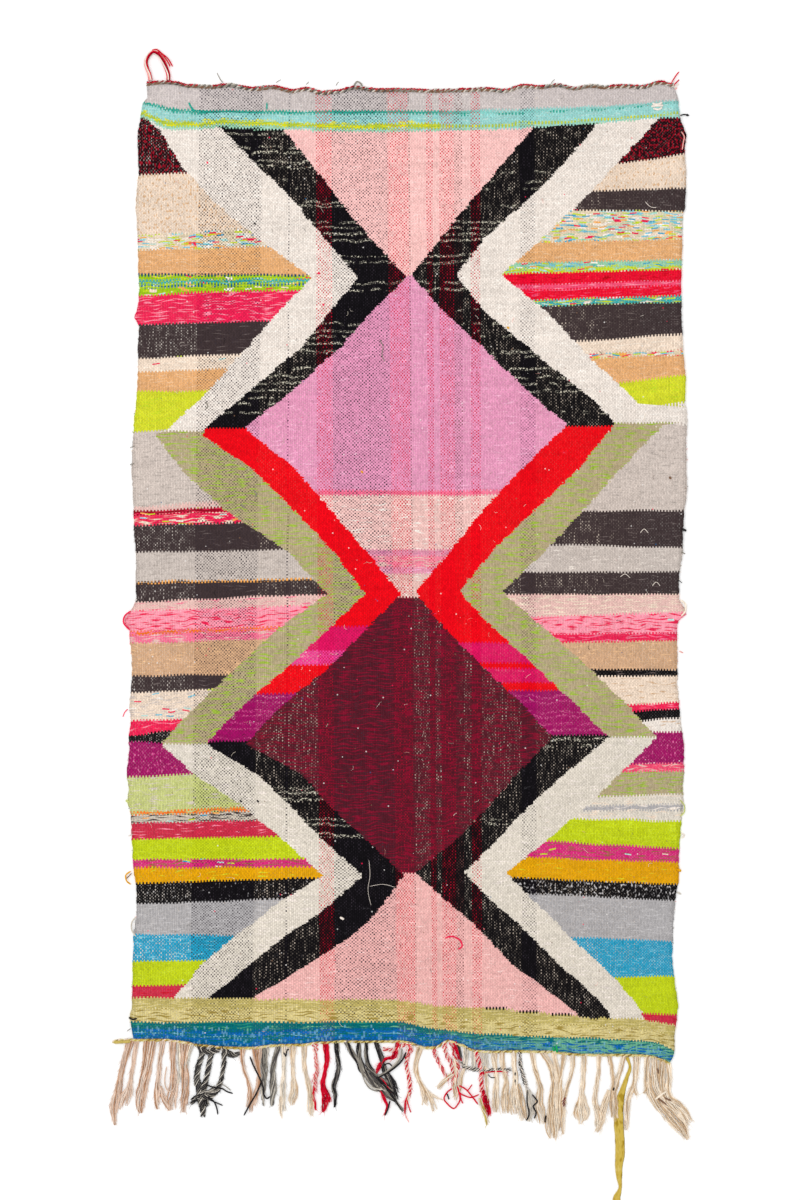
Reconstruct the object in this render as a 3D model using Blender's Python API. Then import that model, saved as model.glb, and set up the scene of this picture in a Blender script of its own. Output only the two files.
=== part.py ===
# Boucherouite rug, laid flat: a rag and yarn flatweave with an uneven outline.
# X runs across the rug, Y along it with the twined end at +Y, Z up. The origin is on the
# cloth's flat underside, near its middle. The tables are in millimetres, measured on the rug.

from math import hypot

import bmesh
import bpy
from mathutils import Vector

MM = 0.001

CLOTH_THICKNESS = 4.0        # two rag picks over one heavy warp
CLEARANCE = 0.3              # between a piece and its neighbour
TWINE_STEP = 9.0             # half a turn of a twined edge
TWINE_RISE = 0.65            # height of a twined edge's sides, as a share of its crest
TWINE_SWAY = 0.14            # how far its crest swings to each side, as a share of its width
TWINE_DIP = 0.80             # crest height between two turns
TOP_TWINE_WIDTH = 9.0
TOP_TWINE_HEIGHT = 6.0
LOW_TWINE_WIDTH = 7.5
LOW_TWINE_HEIGHT = 6.0
STRAND_HEIGHT = 5.0          # a warp bundle lying on the floor
STRAND_END_HEIGHT = 2.5      # its frayed end
STRAND_STEPS = 3             # sections on each half of a strand
LOOP_DIAMETER = 9.0          # bundle of red and white yarn at the corner
LOOP_SPACING = 7.0           # distance between the tube's points
LOOP_LIFT = 0.3              # air under the loop
TAIL_THICKNESS = 3.0         # a doubled rag strip
TAIL_TWIST_HEIGHT = 6.0      # the strip where it is twisted narrow

# Both selvedges from the top end down: y, left x, right x.
SELVEDGES = (
    (1036, -573, 594),
    (1027, -583, 594),
    (994, -588, 598),
    (955, -595, 612),
    (924, -594, 608),
    (876, -592, 612),
    (823, -597, 610),
    (796, -598, 609),
    (783, -597, 604),
    (715, -594, 603),
    (616, -591, 600),
    (581, -593, 601),
    (554, -602, 601),
    (537, -591, 602),
    (480, -594, 605),
    (422, -594, 610),
    (365, -598, 610),
    (343, -601, 614),
    (286, -605, 612),
    (216, -608, 612),
    (172, -604, 614),
    (136, -603, 607),
    (88, -603, 604),
    (40, -598, 604),
    (-13, -598, 596),
    (-66, -598, 596),
    (-79, -603, 605),
    (-97, -614, 612),
    (-112, -625, 594),
    (-132, -613, 592),
    (-198, -607, 592),
    (-246, -607, 592),
    (-295, -613, 596),
    (-339, -609, 600),
    (-370, -615, 605),
    (-396, -612, 607),
    (-444, -619, 606),
    (-480, -614, 604),
    (-510, -617, 606),
    (-537, -609, 603),
    (-590, -607, 598),
    (-642, -605, 595),
    (-682, -600, 596),
    (-704, -597, 590),
    (-752, -596, 585),
    (-796, -603, 583),
    (-854, -605, 580),
    (-911, -606, 587),
    (-959, -607, 594),
    (-986, -612, 591),
)

# The right selvedge hangs lower than the left at the fringed end: x, y.
LOW_RIGHT_CORNER = ((585, -1030), (587, -1052), (583, -1070))

# Outer side of the twined line at the top end: x, y.
TOP_LINE = (
    (-574, 1074),
    (-552, 1076),
    (-535, 1077),
    (-519, 1076),
    (-480, 1069),
    (-431, 1067),
    (-392, 1071),
    (-343, 1063),
    (-295, 1067),
    (-255, 1058),
    (-224, 1063),
    (-189, 1054),
    (-150, 1058),
    (-114, 1066),
    (-75, 1060),
    (-9, 1060),
    (62, 1058),
    (119, 1060),
    (172, 1062),
    (213, 1058),
    (251, 1069),
    (295, 1067),
    (330, 1071),
    (367, 1063),
    (400, 1069),
    (433, 1066),
    (475, 1069),
    (515, 1067),
    (554, 1077),
    (585, 1070),
)

# Lower edge of the cloth, and the stub of twine past its left corner: x, y.
LOW_LINE = (
    (-650, -1034),
    (-632, -1031),
    (-612, -1030),
    (-535, -1030),
    (-497, -1034),
    (-458, -1042),
    (-405, -1047),
    (-345, -1048),
    (-288, -1042),
    (-238, -1041),
    (-194, -1036),
    (-141, -1033),
    (-92, -1034),
    (-18, -1033),
    (7, -1037),
    (31, -1047),
    (59, -1047),
    (90, -1031),
    (117, -1041),
    (145, -1054),
    (180, -1056),
    (246, -1055),
    (312, -1056),
    (348, -1060),
    (383, -1063),
    (469, -1063),
    (510, -1064),
    (539, -1067),
    (559, -1074),
    (576, -1082),
)
LOW_LEFT_CORNER_X = -612         # the cloth's own corner on that line

# Warp ends left as fringe: root x and width, the bend's x and y, the tip's x and y,
# the width where the yarn opens into a brush, and the width at the tip.
STRANDS = (
    (-618, 11, -631, -1126, -645, -1219, 15, 7),
    (-598, 11, -607, -1122, -616, -1179, 13, 10),
    (-574, 13, -579, -1118, -587, -1190, 18, 13),
    (-543, 11, -550, -1122, -552, -1181, 13, 10),
    (-519, 15, -517, -1118, -521, -1184, 18, 15),
    (-493, 13, -488, -1122, -493, -1188, 18, 9),
    (-451, 11, -464, -1118, -451, -1199, 13, 9),
    (-429, 11, -440, -1118, -425, -1192, 9, 6),
    (-405, 9, -409, -1122, -389, -1146, 7, 4),
    (-383, 20, -383, -1063, -381, -1069, 18, 13),
    (-363, 9, -354, -1118, -345, -1184, 9, 9),
    (-334, 13, -328, -1118, -332, -1175, 11, 9),
    (-310, 11, -312, -1118, -317, -1177, 11, 8),
    (-288, 9, -295, -1122, -299, -1175, 12, 8),
    (-272, 9, -273, -1104, -277, -1199, 13, 7),
    (-253, 9, -255, -1100, -257, -1173, 15, 13),
    (-229, 9, -224, -1122, -213, -1195, 11, 7),
    (-202, 9, -202, -1104, -200, -1184, 9, 6),
    (-179, 11, -180, -1113, -185, -1186, 16, 13),
    (-156, 10, -154, -1100, -161, -1175, 10, 7),
    (-128, 11, -103, -1104, -79, -1151, 11, 9),
    (-101, 9, -81, -1100, -51, -1192, 13, 9),
    (-84, 9, -62, -1104, -29, -1173, 13, 9),
    (-62, 11, -44, -1096, -24, -1144, 11, 9),
    (-24, 9, -31, -1069, -35, -1085, 7, 4),
    (0, 10, 2, -1118, -7, -1195, 10, 7),
    (26, 13, 24, -1104, 51, -1179, 13, 18),
    (57, 8, 70, -1085, 79, -1104, 7, 6),
    (84, 10, 92, -1096, 90, -1144, 11, 8),
    (106, 11, 110, -1091, 106, -1175, 9, 9),
    (128, 13, 128, -1078, 128, -1096, 13, 9),
    (154, 10, 161, -1104, 174, -1214, 11, 7),
    (175, 11, 176, -1100, 182, -1162, 9, 8),
    (196, 11, 196, -1111, 196, -1188, 12, 11),
    (215, 11, 216, -1104, 220, -1186, 12, 13),
    (232, 10, 235, -1111, 246, -1201, 14, 18),
    (249, 9, 255, -1111, 266, -1188, 8, 6),
    (271, 11, 279, -1104, 290, -1208, 13, 18),
    (299, 11, 315, -1111, 315, -1245, 18, 20),
    (341, 10, 337, -1111, 332, -1155, 9, 7),
    (361, 11, 352, -1133, 343, -1228, 12, 11),
    (388, 13, 385, -1133, 381, -1208, 15, 26),
    (421, 11, 416, -1140, 418, -1230, 15, 13),
    (447, 11, 449, -1133, 444, -1201, 13, 13),
    (469, 10, 463, -1100, 461, -1122, 9, 7),
    (506, 13, 504, -1118, 488, -1221, 13, 11),
    (530, 13, 537, -1148, 612, -1250, 14, 7),
    (549, 13, 554, -1144, 618, -1230, 14, 9),
    (567, 12, 572, -1140, 623, -1208, 14, 9),
)

# Yarn ends that stick up at the top right corner, in the strands' columns.
TOP_TUFT = (
    (562, 9, 574, 1088, 597, 1098, 5, 3),
    (577, 8, 587, 1080, 598, 1086, 5, 4),
)

# The yarn loop at the top left corner, from one root to the other: x, y.
LOOP_ROUTE = (
    (-566, 1080),
    (-569, 1091),
    (-574, 1104),
    (-576, 1118),
    (-570, 1131),
    (-559, 1139),
    (-547, 1132),
    (-538, 1118),
    (-531, 1102),
    (-527, 1089),
    (-527, 1080),
)

# The rag strip left hanging past the fringe: x, y, width, thickness.
TAIL_SECTIONS = (
    (484, -1075, 8, 4.0),
    (488, -1093, 7, 4.0),
    (482, -1118, 9, 4.0),
    (476, -1135, 12, TAIL_THICKNESS),
    (469, -1155, 15, TAIL_THICKNESS),
    (465, -1184, 18, TAIL_THICKNESS),
    (464, -1210, 20, TAIL_THICKNESS),
    (464, -1243, 21, TAIL_THICKNESS),
    (466, -1280, 21, TAIL_THICKNESS),
    (465, -1311, 16, TAIL_THICKNESS),
    (465, -1338, 11, 4.5),
    (468, -1360, 7, TAIL_TWIST_HEIGHT),
    (463, -1375, 13, 4.5),
    (459, -1395, 18, TAIL_THICKNESS),
    (458, -1415, 15, TAIL_THICKNESS),
)


def clear_scene():
    for obj in list(bpy.data.objects):
        bpy.data.objects.remove(obj, do_unlink=True)


def make_material(name, colour, roughness=0.9):
    material = bpy.data.materials.new(name)
    material.use_nodes = True
    shader = material.node_tree.nodes["Principled BSDF"]
    shader.inputs["Base Color"].default_value = (*colour, 1.0)
    shader.inputs["Roughness"].default_value = roughness
    shader.inputs["Metallic"].default_value = 0.0
    return material


def link_object(name, data, material, parent):
    obj = bpy.data.objects.new(name, data)
    data.materials.append(material)
    bpy.context.collection.objects.link(obj)
    obj.parent = parent
    return obj


def object_from_bmesh(name, bm, material, parent):
    bmesh.ops.recalc_face_normals(bm, faces=bm.faces)
    bmesh.ops.triangulate(bm, faces=bm.faces, ngon_method="BEAUTY")
    bmesh.ops.scale(bm, vec=(MM, MM, MM), verts=bm.verts)
    mesh = bpy.data.meshes.new(name)
    bm.to_mesh(mesh)
    bm.free()
    return link_object(name, mesh, material, parent)


def smooth_point(before, start, end, after, share):
    """Point on a Catmull-Rom curve, at share of the way from start to end."""
    square = share * share
    cube = square * share
    return 0.5 * (2 * start
                  + (end - before) * share
                  + (2 * before - 5 * start + 4 * end - after) * square
                  + (3 * start - before - 3 * end + after) * cube)


def smooth_path(points, steps):
    """Points of a smooth curve through the given ones, with some steps between each pair."""
    last = len(points) - 1
    path = [points[0]]
    for index in range(last):
        before = points[max(index - 1, 0)]
        after = points[min(index + 2, last)]
        for step in range(1, steps + 1):
            path.append(smooth_point(before, points[index], points[index + 1], after, step / steps))
    return path


def level_at(line, x):
    """Height y of an end line at x, read between its points with an even slope at each."""
    for (x0, y0), (x1, y1) in zip(line, line[1:]):
        if x <= x1 or (x1, y1) == line[-1]:
            share = (x - x0) / (x1 - x0)
            eased = share * share * (3 - 2 * share)
            return y0 + (y1 - y0) * eased


def stops_at(stops, share):
    """Value at share, on straight lines between (share, value) stops."""
    for (start, low), (end, high) in zip(stops, stops[1:]):
        if share <= end:
            return low + (high - low) * (share - start) / (end - start)
    return stops[-1][1]


def twine_stations(first, last, strands):
    """Places along a twined edge. One step spans each strand's root, and even steps lie between."""
    stations = [first]
    for root_x, root_width, *_ in strands:
        start = root_x - root_width / 2
        stations += even_steps(stations[-1], start)
        stations.append(root_x + root_width / 2)
    return stations + even_steps(stations[-1], last)


def even_steps(start, end):
    count = max(1, round((end - start) / TWINE_STEP))
    return [start + (end - start) * step / count for step in range(1, count)] + [end]


def build_twine(bm, stations, inner_y, side, width, height):
    """Lofted two-yarn edge. Returns the outer side face between each pair of stations."""
    rings = []
    for index, x in enumerate(stations):
        turn = 1 if index % 2 else -1
        crest = height * (1 if index % 2 else TWINE_DIP)
        profile = (
            (0, 0),
            (0, height * TWINE_RISE),
            (width * (0.3 + TWINE_SWAY * turn), crest),
            (width * (0.7 + TWINE_SWAY * turn), crest),
            (width, height * TWINE_RISE),
            (width, 0),
        )
        y = inner_y(x)
        rings.append([bm.verts.new((x, y + side * across, up)) for across, up in profile])
    outer_faces = []
    for ring, following in zip(rings, rings[1:]):
        for corner in range(len(ring)):
            after = (corner + 1) % len(ring)
            face = bm.faces.new((ring[corner], ring[after], following[after], following[corner]))
            if corner == len(ring) - 2:
                outer_faces.append(face)
    bm.faces.new(rings[0])
    bm.faces.new(rings[-1][::-1])
    return outer_faces


def strand_sections(row, root_y):
    """Section corners of one strand, from just past its root to its tip."""
    root_x, root_width, bend_x, bend_y, tip_x, tip_y, brush_width, tip_width = row
    path = smooth_path([Vector((root_x, root_y)), Vector((bend_x, bend_y)), Vector((tip_x, tip_y))],
                       STRAND_STEPS)
    widths = ((0, root_width), (0.25, 0.8 * root_width), (0.75, brush_width), (1, tip_width))
    heights = ((0, STRAND_HEIGHT * 0.8), (0.75, STRAND_HEIGHT), (1, STRAND_END_HEIGHT))
    count = len(path) - 1
    for index in range(1, count + 1):
        run = path[min(index + 1, count)] - path[index - 1]
        run.normalize()
        across = Vector((-run.y, run.x)) * 0.5 * stops_at(widths, index / count)
        left = path[index] - across
        right = path[index] + across
        up = stops_at(heights, index / count)
        yield {"low_left": (left.x, left.y, 0), "low_right": (right.x, right.y, 0),
               "high_left": (left.x, left.y, up), "high_right": (right.x, right.y, up)}


def grow_strand(bm, root_face, row):
    """Extrudes a strand of four sides out of its root face on a twined edge."""
    middle = root_face.calc_center_median()
    across_sign = 1 if row[5] < middle.y else -1     # right hand of a strand that runs down
    corners = {}
    for vert in root_face.verts:
        level = "high" if vert.co.z > middle.z else "low"
        hand = "right" if (vert.co.x - middle.x) * across_sign > 0 else "left"
        corners[f"{level}_{hand}"] = vert
    face = root_face
    for section in strand_sections(row, middle.y):
        grown = bmesh.ops.extrude_discrete_faces(bm, faces=[face])
        face = grown["faces"][0]
        new_corners = {}
        for name, old in corners.items():
            new_corners[name] = min(face.verts, key=lambda vert: (vert.co - old.co).length)
        for name, vert in new_corners.items():
            vert.co = section[name]
        corners = new_corners


def grow_strands(bm, stations, outer_faces, strands):
    for row in strands:
        root_start = row[0] - row[1] / 2
        grow_strand(bm, outer_faces[stations.index(root_start)], row)


def build_cloth(top_stations, low_stations, parent):
    low_y = [(x, level_at(LOW_LINE, x)) for x in low_stations if x >= LOW_LEFT_CORNER_X]
    top_inset = TOP_TWINE_WIDTH + CLEARANCE
    outline = [(x, level_at(TOP_LINE, x) - top_inset) for x in top_stations]
    outline += [(right, y) for y, _, right in SELVEDGES]
    outline += LOW_RIGHT_CORNER
    outline += reversed(low_y)
    outline += [(left, y) for y, left, _ in reversed(SELVEDGES)]
    bm = bmesh.new()
    face = bm.faces.new([bm.verts.new((x, y, 0)) for x, y in outline])
    raised = bmesh.ops.extrude_face_region(bm, geom=[face], use_keep_orig=True)
    top_verts = [item for item in raised["geom"] if isinstance(item, bmesh.types.BMVert)]
    bmesh.ops.translate(bm, vec=(0, 0, CLOTH_THICKNESS), verts=top_verts)
    material = make_material("rug_cloth", (0.62, 0.50, 0.44))
    return object_from_bmesh("rug_cloth", bm, material, parent)


def build_top_twining(stations, parent):
    bm = bmesh.new()

    def inner_y(x):
        return level_at(TOP_LINE, x) - TOP_TWINE_WIDTH

    faces = build_twine(bm, stations, inner_y, 1, TOP_TWINE_WIDTH, TOP_TWINE_HEIGHT)
    grow_strands(bm, stations, faces, TOP_TUFT)
    material = make_material("top_twining", (0.42, 0.25, 0.22))
    return object_from_bmesh("top_twining", bm, material, parent)


def build_fringe(stations, parent):
    bm = bmesh.new()

    def inner_y(x):
        return level_at(LOW_LINE, x) - CLEARANCE

    faces = build_twine(bm, stations, inner_y, -1, LOW_TWINE_WIDTH, LOW_TWINE_HEIGHT)
    grow_strands(bm, stations, faces, STRANDS)
    material = make_material("fringe", (0.66, 0.53, 0.42))
    return object_from_bmesh("fringe", bm, material, parent)


def build_corner_loop(parent):
    radius = LOOP_DIAMETER / 2
    points = [Vector(point) for point in LOOP_ROUTE]
    for end in (points[0], points[-1]):
        seat = max(level_at(TOP_LINE, end.x - radius), level_at(TOP_LINE, end.x + radius))
        end.y = seat + CLEARANCE
    length = sum((b - a).length for a, b in zip(points, points[1:]))
    steps = max(1, round(length / LOOP_SPACING / (len(points) - 1)))
    route = smooth_path(points, steps)
    curve = bpy.data.curves.new("corner_loop", "CURVE")
    curve.dimensions = "3D"
    curve.bevel_depth = radius * MM
    curve.bevel_resolution = 2
    curve.use_fill_caps = True
    spline = curve.splines.new("POLY")
    spline.points.add(len(route) - 1)
    for point, place in zip(spline.points, route):
        point.co = (place.x * MM, place.y * MM, (radius + LOOP_LIFT) * MM, 1)
    return link_object("corner_loop", curve, make_material("corner_loop", (0.70, 0.20, 0.22)), parent)


def build_rag_tail(parent):
    bm = bmesh.new()
    places = [Vector((x, y)) for x, y, *_ in TAIL_SECTIONS]
    places[0].y = level_at(LOW_LINE, places[0].x) - LOW_TWINE_WIDTH - 2 * CLEARANCE
    last = len(places) - 1
    rings = []
    for index, (place, (_, _, width, thick)) in enumerate(zip(places, TAIL_SECTIONS)):
        run = places[min(index + 1, last)] - places[max(index - 1, 0)]
        run = Vector((0, -1)) if index == 0 else run / hypot(*run)
        across = Vector((-run.y, run.x)) * width / 2
        left = place - across
        right = place + across
        corners = ((left.x, left.y, 0), (right.x, right.y, 0),
                   (right.x, right.y, thick), (left.x, left.y, thick))
        rings.append([bm.verts.new(corner) for corner in corners])
    for ring, following in zip(rings, rings[1:]):
        for corner in range(4):
            after = (corner + 1) % 4
            bm.faces.new((ring[corner], ring[after], following[after], following[corner]))
    bm.faces.new(rings[0])
    bm.faces.new(rings[-1][::-1])
    return object_from_bmesh("rag_tail", bm, make_material("rag_tail", (0.60, 0.50, 0.16)), parent)


def build_rug():
    clear_scene()
    rug = bpy.data.objects.new("boucherouite_rug", None)
    bpy.context.collection.objects.link(rug)
    top_stations = twine_stations(TOP_LINE[0][0], TOP_LINE[-1][0], TOP_TUFT)
    low_stations = twine_stations(LOW_LINE[0][0], LOW_LINE[-1][0], STRANDS)
    build_cloth(top_stations, low_stations, rug)
    build_top_twining(top_stations, rug)
    build_corner_loop(rug)
    build_fringe(low_stations, rug)
    build_rag_tail(rug)


build_rug()
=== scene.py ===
from bisect import bisect_right
from functools import lru_cache
from math import cos, floor, hypot, pi, sin, tau
from random import Random

import bmesh
import bpy
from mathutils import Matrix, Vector, noise


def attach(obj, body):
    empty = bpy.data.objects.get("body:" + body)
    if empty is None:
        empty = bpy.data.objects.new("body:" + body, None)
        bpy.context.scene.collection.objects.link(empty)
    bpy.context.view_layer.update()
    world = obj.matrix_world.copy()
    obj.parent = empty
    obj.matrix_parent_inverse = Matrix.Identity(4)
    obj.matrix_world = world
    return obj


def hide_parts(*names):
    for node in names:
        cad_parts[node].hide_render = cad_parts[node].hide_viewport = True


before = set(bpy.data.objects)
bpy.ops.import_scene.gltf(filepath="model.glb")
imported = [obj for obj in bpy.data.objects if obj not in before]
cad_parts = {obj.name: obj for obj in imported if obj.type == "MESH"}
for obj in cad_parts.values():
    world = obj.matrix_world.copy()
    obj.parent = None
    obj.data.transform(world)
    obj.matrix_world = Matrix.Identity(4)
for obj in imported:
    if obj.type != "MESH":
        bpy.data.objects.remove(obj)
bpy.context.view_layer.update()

# The rug is laid out on a weaver's chart of 2.2 mm squares. They are counted to the right
# and down from the chart's top left corner, and the middle square is the rug's origin.
chart = {"square": 0.0022, "middleX": 408, "middleY": 570, "high": 1200}


def onRug(x, y, up=0.0):
    return Vector(((x - chart["middleX"]) * chart["square"],
                   (chart["middleY"] - y) * chart["square"], up))


def onChart(point):
    return (point.x / chart["square"] + chart["middleX"],
            chart["middleY"] - point.y / chart["square"])


def readLine(line, at, column=1):
    # Value at a place on straight lines between rows that start with their place.
    after = bisect_right(line, at, key=lambda row: row[0])
    if after == 0:
        return line[0][column]
    if after == len(line):
        return line[-1][column]
    low, high = line[after - 1], line[after]
    return low[column] + (high[column] - low[column]) * (at - low[0]) / (high[0] - low[0])


def smoothRoute(points, steps):
    # Catmull-Rom curve through points that may carry more values than a place.
    last = len(points) - 1
    route = [points[0]]
    for i in range(last):
        a, b, c, d = (points[max(i - 1, 0)], points[i], points[i + 1], points[min(i + 2, last)])
        for step in range(1, steps + 1):
            t = step / steps
            route.append(0.5 * (2 * b + (c - a) * t + (2 * a - 5 * b + 4 * c - d) * t ** 2
                                + (3 * b - a - 3 * c + d) * t ** 3))
    return route


# Camera, straight above the rug, with the chart as its frame
shot = {"lens": 80, "sensor": 36, "middle": (400, 600)}

camera = bpy.data.cameras.new("camera")
camera.lens = shot["lens"]
camera.sensor_width = shot["sensor"]
cameraObject = bpy.data.objects.new("camera", camera)
bpy.context.scene.collection.objects.link(cameraObject)
cameraHeight = chart["high"] * chart["square"] * shot["lens"] / shot["sensor"]
cameraObject.location = onRug(*shot["middle"], cameraHeight)
bpy.context.scene.camera = cameraObject
print("camera placed")


# Yarns and rags by name, as red, green and blue out of 255
yarns = {
    "white": (238, 234, 230), "cream": (233, 222, 212), "creamPale": (243, 235, 226),
    "creamLow": (219, 210, 196), "lavenderGrey": (200, 190, 188), "lavenderPale": (212, 202, 198),
    "tealLine": (38, 160, 142), "turquoise": (146, 208, 203), "turquoisePale": (176, 218, 212),
    "yellowGreen": (176, 196, 60), "brightYellow": (222, 218, 20), "maroon": (36, 6, 14),
    "maroonRed": (150, 6, 32), "ecru": (235, 213, 192), "ecruPale": (242, 226, 208),
    "ecruShade": (206, 166, 126), "speckle": (222, 204, 172), "mint": (150, 205, 170),
    "tan": (225, 168, 112), "tanPale": (232, 186, 140), "tanGrey": (204, 162, 126), "lime": (154, 194, 26),
    "limeBright": (196, 214, 40), "limeYellow": (208, 213, 44), "navy": (20, 70, 96),
    "turquoiseDeep": (40, 165, 165), "pinkRed": (232, 32, 80), "pinkLight": (255, 140, 165),
    "red": (232, 8, 22), "redRose": (232, 10, 46), "redDeep": (196, 4, 24), "redPink": (240, 70, 110),
    "charcoal": (62, 50, 51), "charcoalPale": (104, 92, 90), "greyBeige": (205, 191, 182),
    "greyShade": (180, 168, 160), "palePink": (226, 184, 176), "lightGrey": (198, 186, 178),
    "orange": (236, 112, 30), "orangePale": (240, 168, 84), "streakPink": (240, 108, 142),
    "streakLight": (250, 150, 170), "magenta": (216, 20, 92), "magentaPale": (232, 60, 140),
    "magentaDeep": (196, 10, 80), "purple": (156, 14, 94), "purplePale": (216, 90, 150),
    "black": (16, 14, 17), "blackPale": (60, 58, 62), "lineCream": (236, 230, 208),
    "paleGreen": (192, 198, 122), "limeLow": (188, 204, 24), "mixMagenta": (212, 34, 118),
    "mixBrown": (150, 100, 62), "orangeYellow": (220, 158, 10), "coolGrey": (170, 167, 168),
    "coolGreyPale": (190, 187, 188), "skyBlue": (32, 152, 188), "skyBluePale": (110, 190, 212),
    "redLow": (200, 44, 70), "heatherGreen": (176, 160, 124), "heatherLime": (156, 184, 62),
    "heatherPale": (206, 194, 178), "pink": (247, 193, 189), "pinkPale": (250, 210, 206),
    "orchid": (225, 147, 182), "orchidPale": (242, 176, 206), "orchidDeep": (206, 124, 160),
    "creamPink": (236, 190, 184), "mauve": (222, 142, 168), "pinkRose": (240, 126, 152),
    "plum": (82, 26, 38), "plumRed": (128, 18, 44), "pinkLow": (234, 176, 172), "straw": (186, 170, 98),
    "strawPale": (212, 196, 132), "strawDeep": (160, 138, 66), "teal": (4, 104, 110),
    "tealGreen": (40, 140, 116), "blue": (4, 92, 142), "blueBright": (14, 100, 176),
    "bluePale": (110, 170, 200), "seaGreen": (112, 178, 142), "green": (30, 156, 90),
    "warpCream": (228, 218, 208), "warpGrey": (58, 51, 60), "warpBeige": (216, 200, 184),
    "warpRed": (206, 10, 50), "warpDark": (52, 44, 50), "warpBrown": (120, 78, 74),
    "warpWhite": (236, 230, 222), "woolRose": (214, 186, 166), "woolRosePale": (228, 208, 192),
    "woolRoseDeep": (184, 140, 108), "woolSand": (226, 208, 185), "woolSandPale": (240, 226, 207),
    "woolSandDeep": (200, 171, 137), "woolAsh": (206, 198, 186), "woolGrey": (140, 134, 124),
    "woolSlate": (84, 80, 78), "woolBlack": (38, 36, 38), "woolRed": (206, 12, 44),
    "woolRedDeep": (150, 8, 30), "woolPink": (240, 168, 160), "woolWhite": (238, 226, 214),
    "woolPlum": (110, 30, 36), "woolBrown": (126, 96, 76), "gold": (192, 170, 92),
    "goldPale": (214, 200, 138), "goldShade": (146, 118, 54), "rag": (197, 170, 76),
    "ragShade": (164, 134, 40), "ragPale": (212, 190, 112),
}


def linear(yarn):
    levels = [level / 255 for level in yarns[yarn]]
    return [level / 12.92 if level < 0.04045 else ((level + 0.055) / 1.055) ** 2.4
            for level in levels]


# Shader maths on sockets
class Wire:
    def __init__(self, paint, socket):
        self.paint = paint
        self.socket = socket

    def math(self, operation, *others):
        values = dict(enumerate((self, *others)))
        return self.paint.node("ShaderNodeMath", {"operation": operation}, values)

    def __add__(self, other):
        return self.math("ADD", other)

    def __sub__(self, other):
        return self.math("SUBTRACT", other)

    def __mul__(self, other):
        return self.math("MULTIPLY", other)

    def __truediv__(self, other):
        return self.math("DIVIDE", other)

    def __gt__(self, other):
        return self.math("GREATER_THAN", other)

    def __lt__(self, other):
        return self.math("LESS_THAN", other)

    def __rsub__(self, other):
        return self * -1 + other

    def __radd__(self, other):
        return self + other

    def __rmul__(self, other):
        return self * other

    def floor(self):
        return self.math("FLOOR")

    def fraction(self):
        return self.math("FRACT")

    def held(self):
        # The value held between 0 and 1
        held = self.math("ADD", 0.0)
        held.socket.node.use_clamp = True
        return held


class Paint:
    def __init__(self, name):
        self.material = bpy.data.materials.new(name)
        self.material.use_nodes = True
        self.tree = self.material.node_tree
        self.shader = self.tree.nodes["Principled BSDF"]

    def node(self, kind, settings=None, values=None, output=0):
        made = self.tree.nodes.new(kind)
        for key, setting in (settings or {}).items():
            if key == "stops":
                self.setStops(made.color_ramp, setting)
            else:
                setattr(made, key, setting)
        for key, value in (values or {}).items():
            if isinstance(value, Wire):
                self.tree.links.new(value.socket, made.inputs[key])
            else:
                made.inputs[key].default_value = value
        return Wire(self, made.outputs[output])

    def setStops(self, ramp, stops):
        ramp.interpolation = "CONSTANT"
        while len(ramp.elements) < len(stops):
            ramp.elements.new(1.0)
        ramp.elements.foreach_set("position", [place for place, _ in stops])
        ramp.elements.foreach_set("color", [level for _, colour in stops for level in colour])

    def mix(self, share, first, second):
        values = {0: share, 6: first, 7: second}
        return self.node("ShaderNodeMix", {"data_type": "RGBA"}, values, 2)

    def vector(self, x, y, z=0.0):
        return self.node("ShaderNodeCombineXYZ", None, {0: x, 1: y, 2: z})

    def parts(self, vector):
        made = self.tree.nodes.new("ShaderNodeSeparateXYZ")
        self.tree.links.new(vector.socket, made.inputs[0])
        return [Wire(self, socket) for socket in made.outputs]

    def attribute(self, name):
        return self.parts(self.node("ShaderNodeAttribute", {"attribute_name": name}, None, 1))

    def place(self):
        return self.parts(self.node("ShaderNodeTexCoord", None, None, 3))

    def smooth(self, x, y, z=0.0, detail=0.0):
        values = {"Vector": self.vector(x, y, z), "Scale": 1.0, "Detail": detail}
        return self.node("ShaderNodeTexNoise", None, values)

    def chance(self, x, y):
        values = {"Vector": self.vector(x, y)}
        return self.node("ShaderNodeTexWhiteNoise", {"noise_dimensions": "2D"}, values)

    def colour(self, yarn):
        return (*linear(yarn), 1.0)

    def dye(self, colour):
        self.link(colour, "Base Color")

    def link(self, wire, name):
        self.tree.links.new(wire.socket, self.shader.inputs[name])

    def relief(self, height, distance, strength=1.0):
        values = {"Height": height, "Distance": distance, "Strength": strength}
        self.link(self.node("ShaderNodeBump", None, values), "Normal")

    def cloth(self, roughness=0.95, sheen=0.0):
        self.shader.inputs["Roughness"].default_value = roughness
        self.shader.inputs["Specular IOR Level"].default_value = 0.03
        self.shader.inputs["Sheen Weight"].default_value = sheen
        self.shader.inputs["Sheen Roughness"].default_value = 0.5
        return self.material


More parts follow.
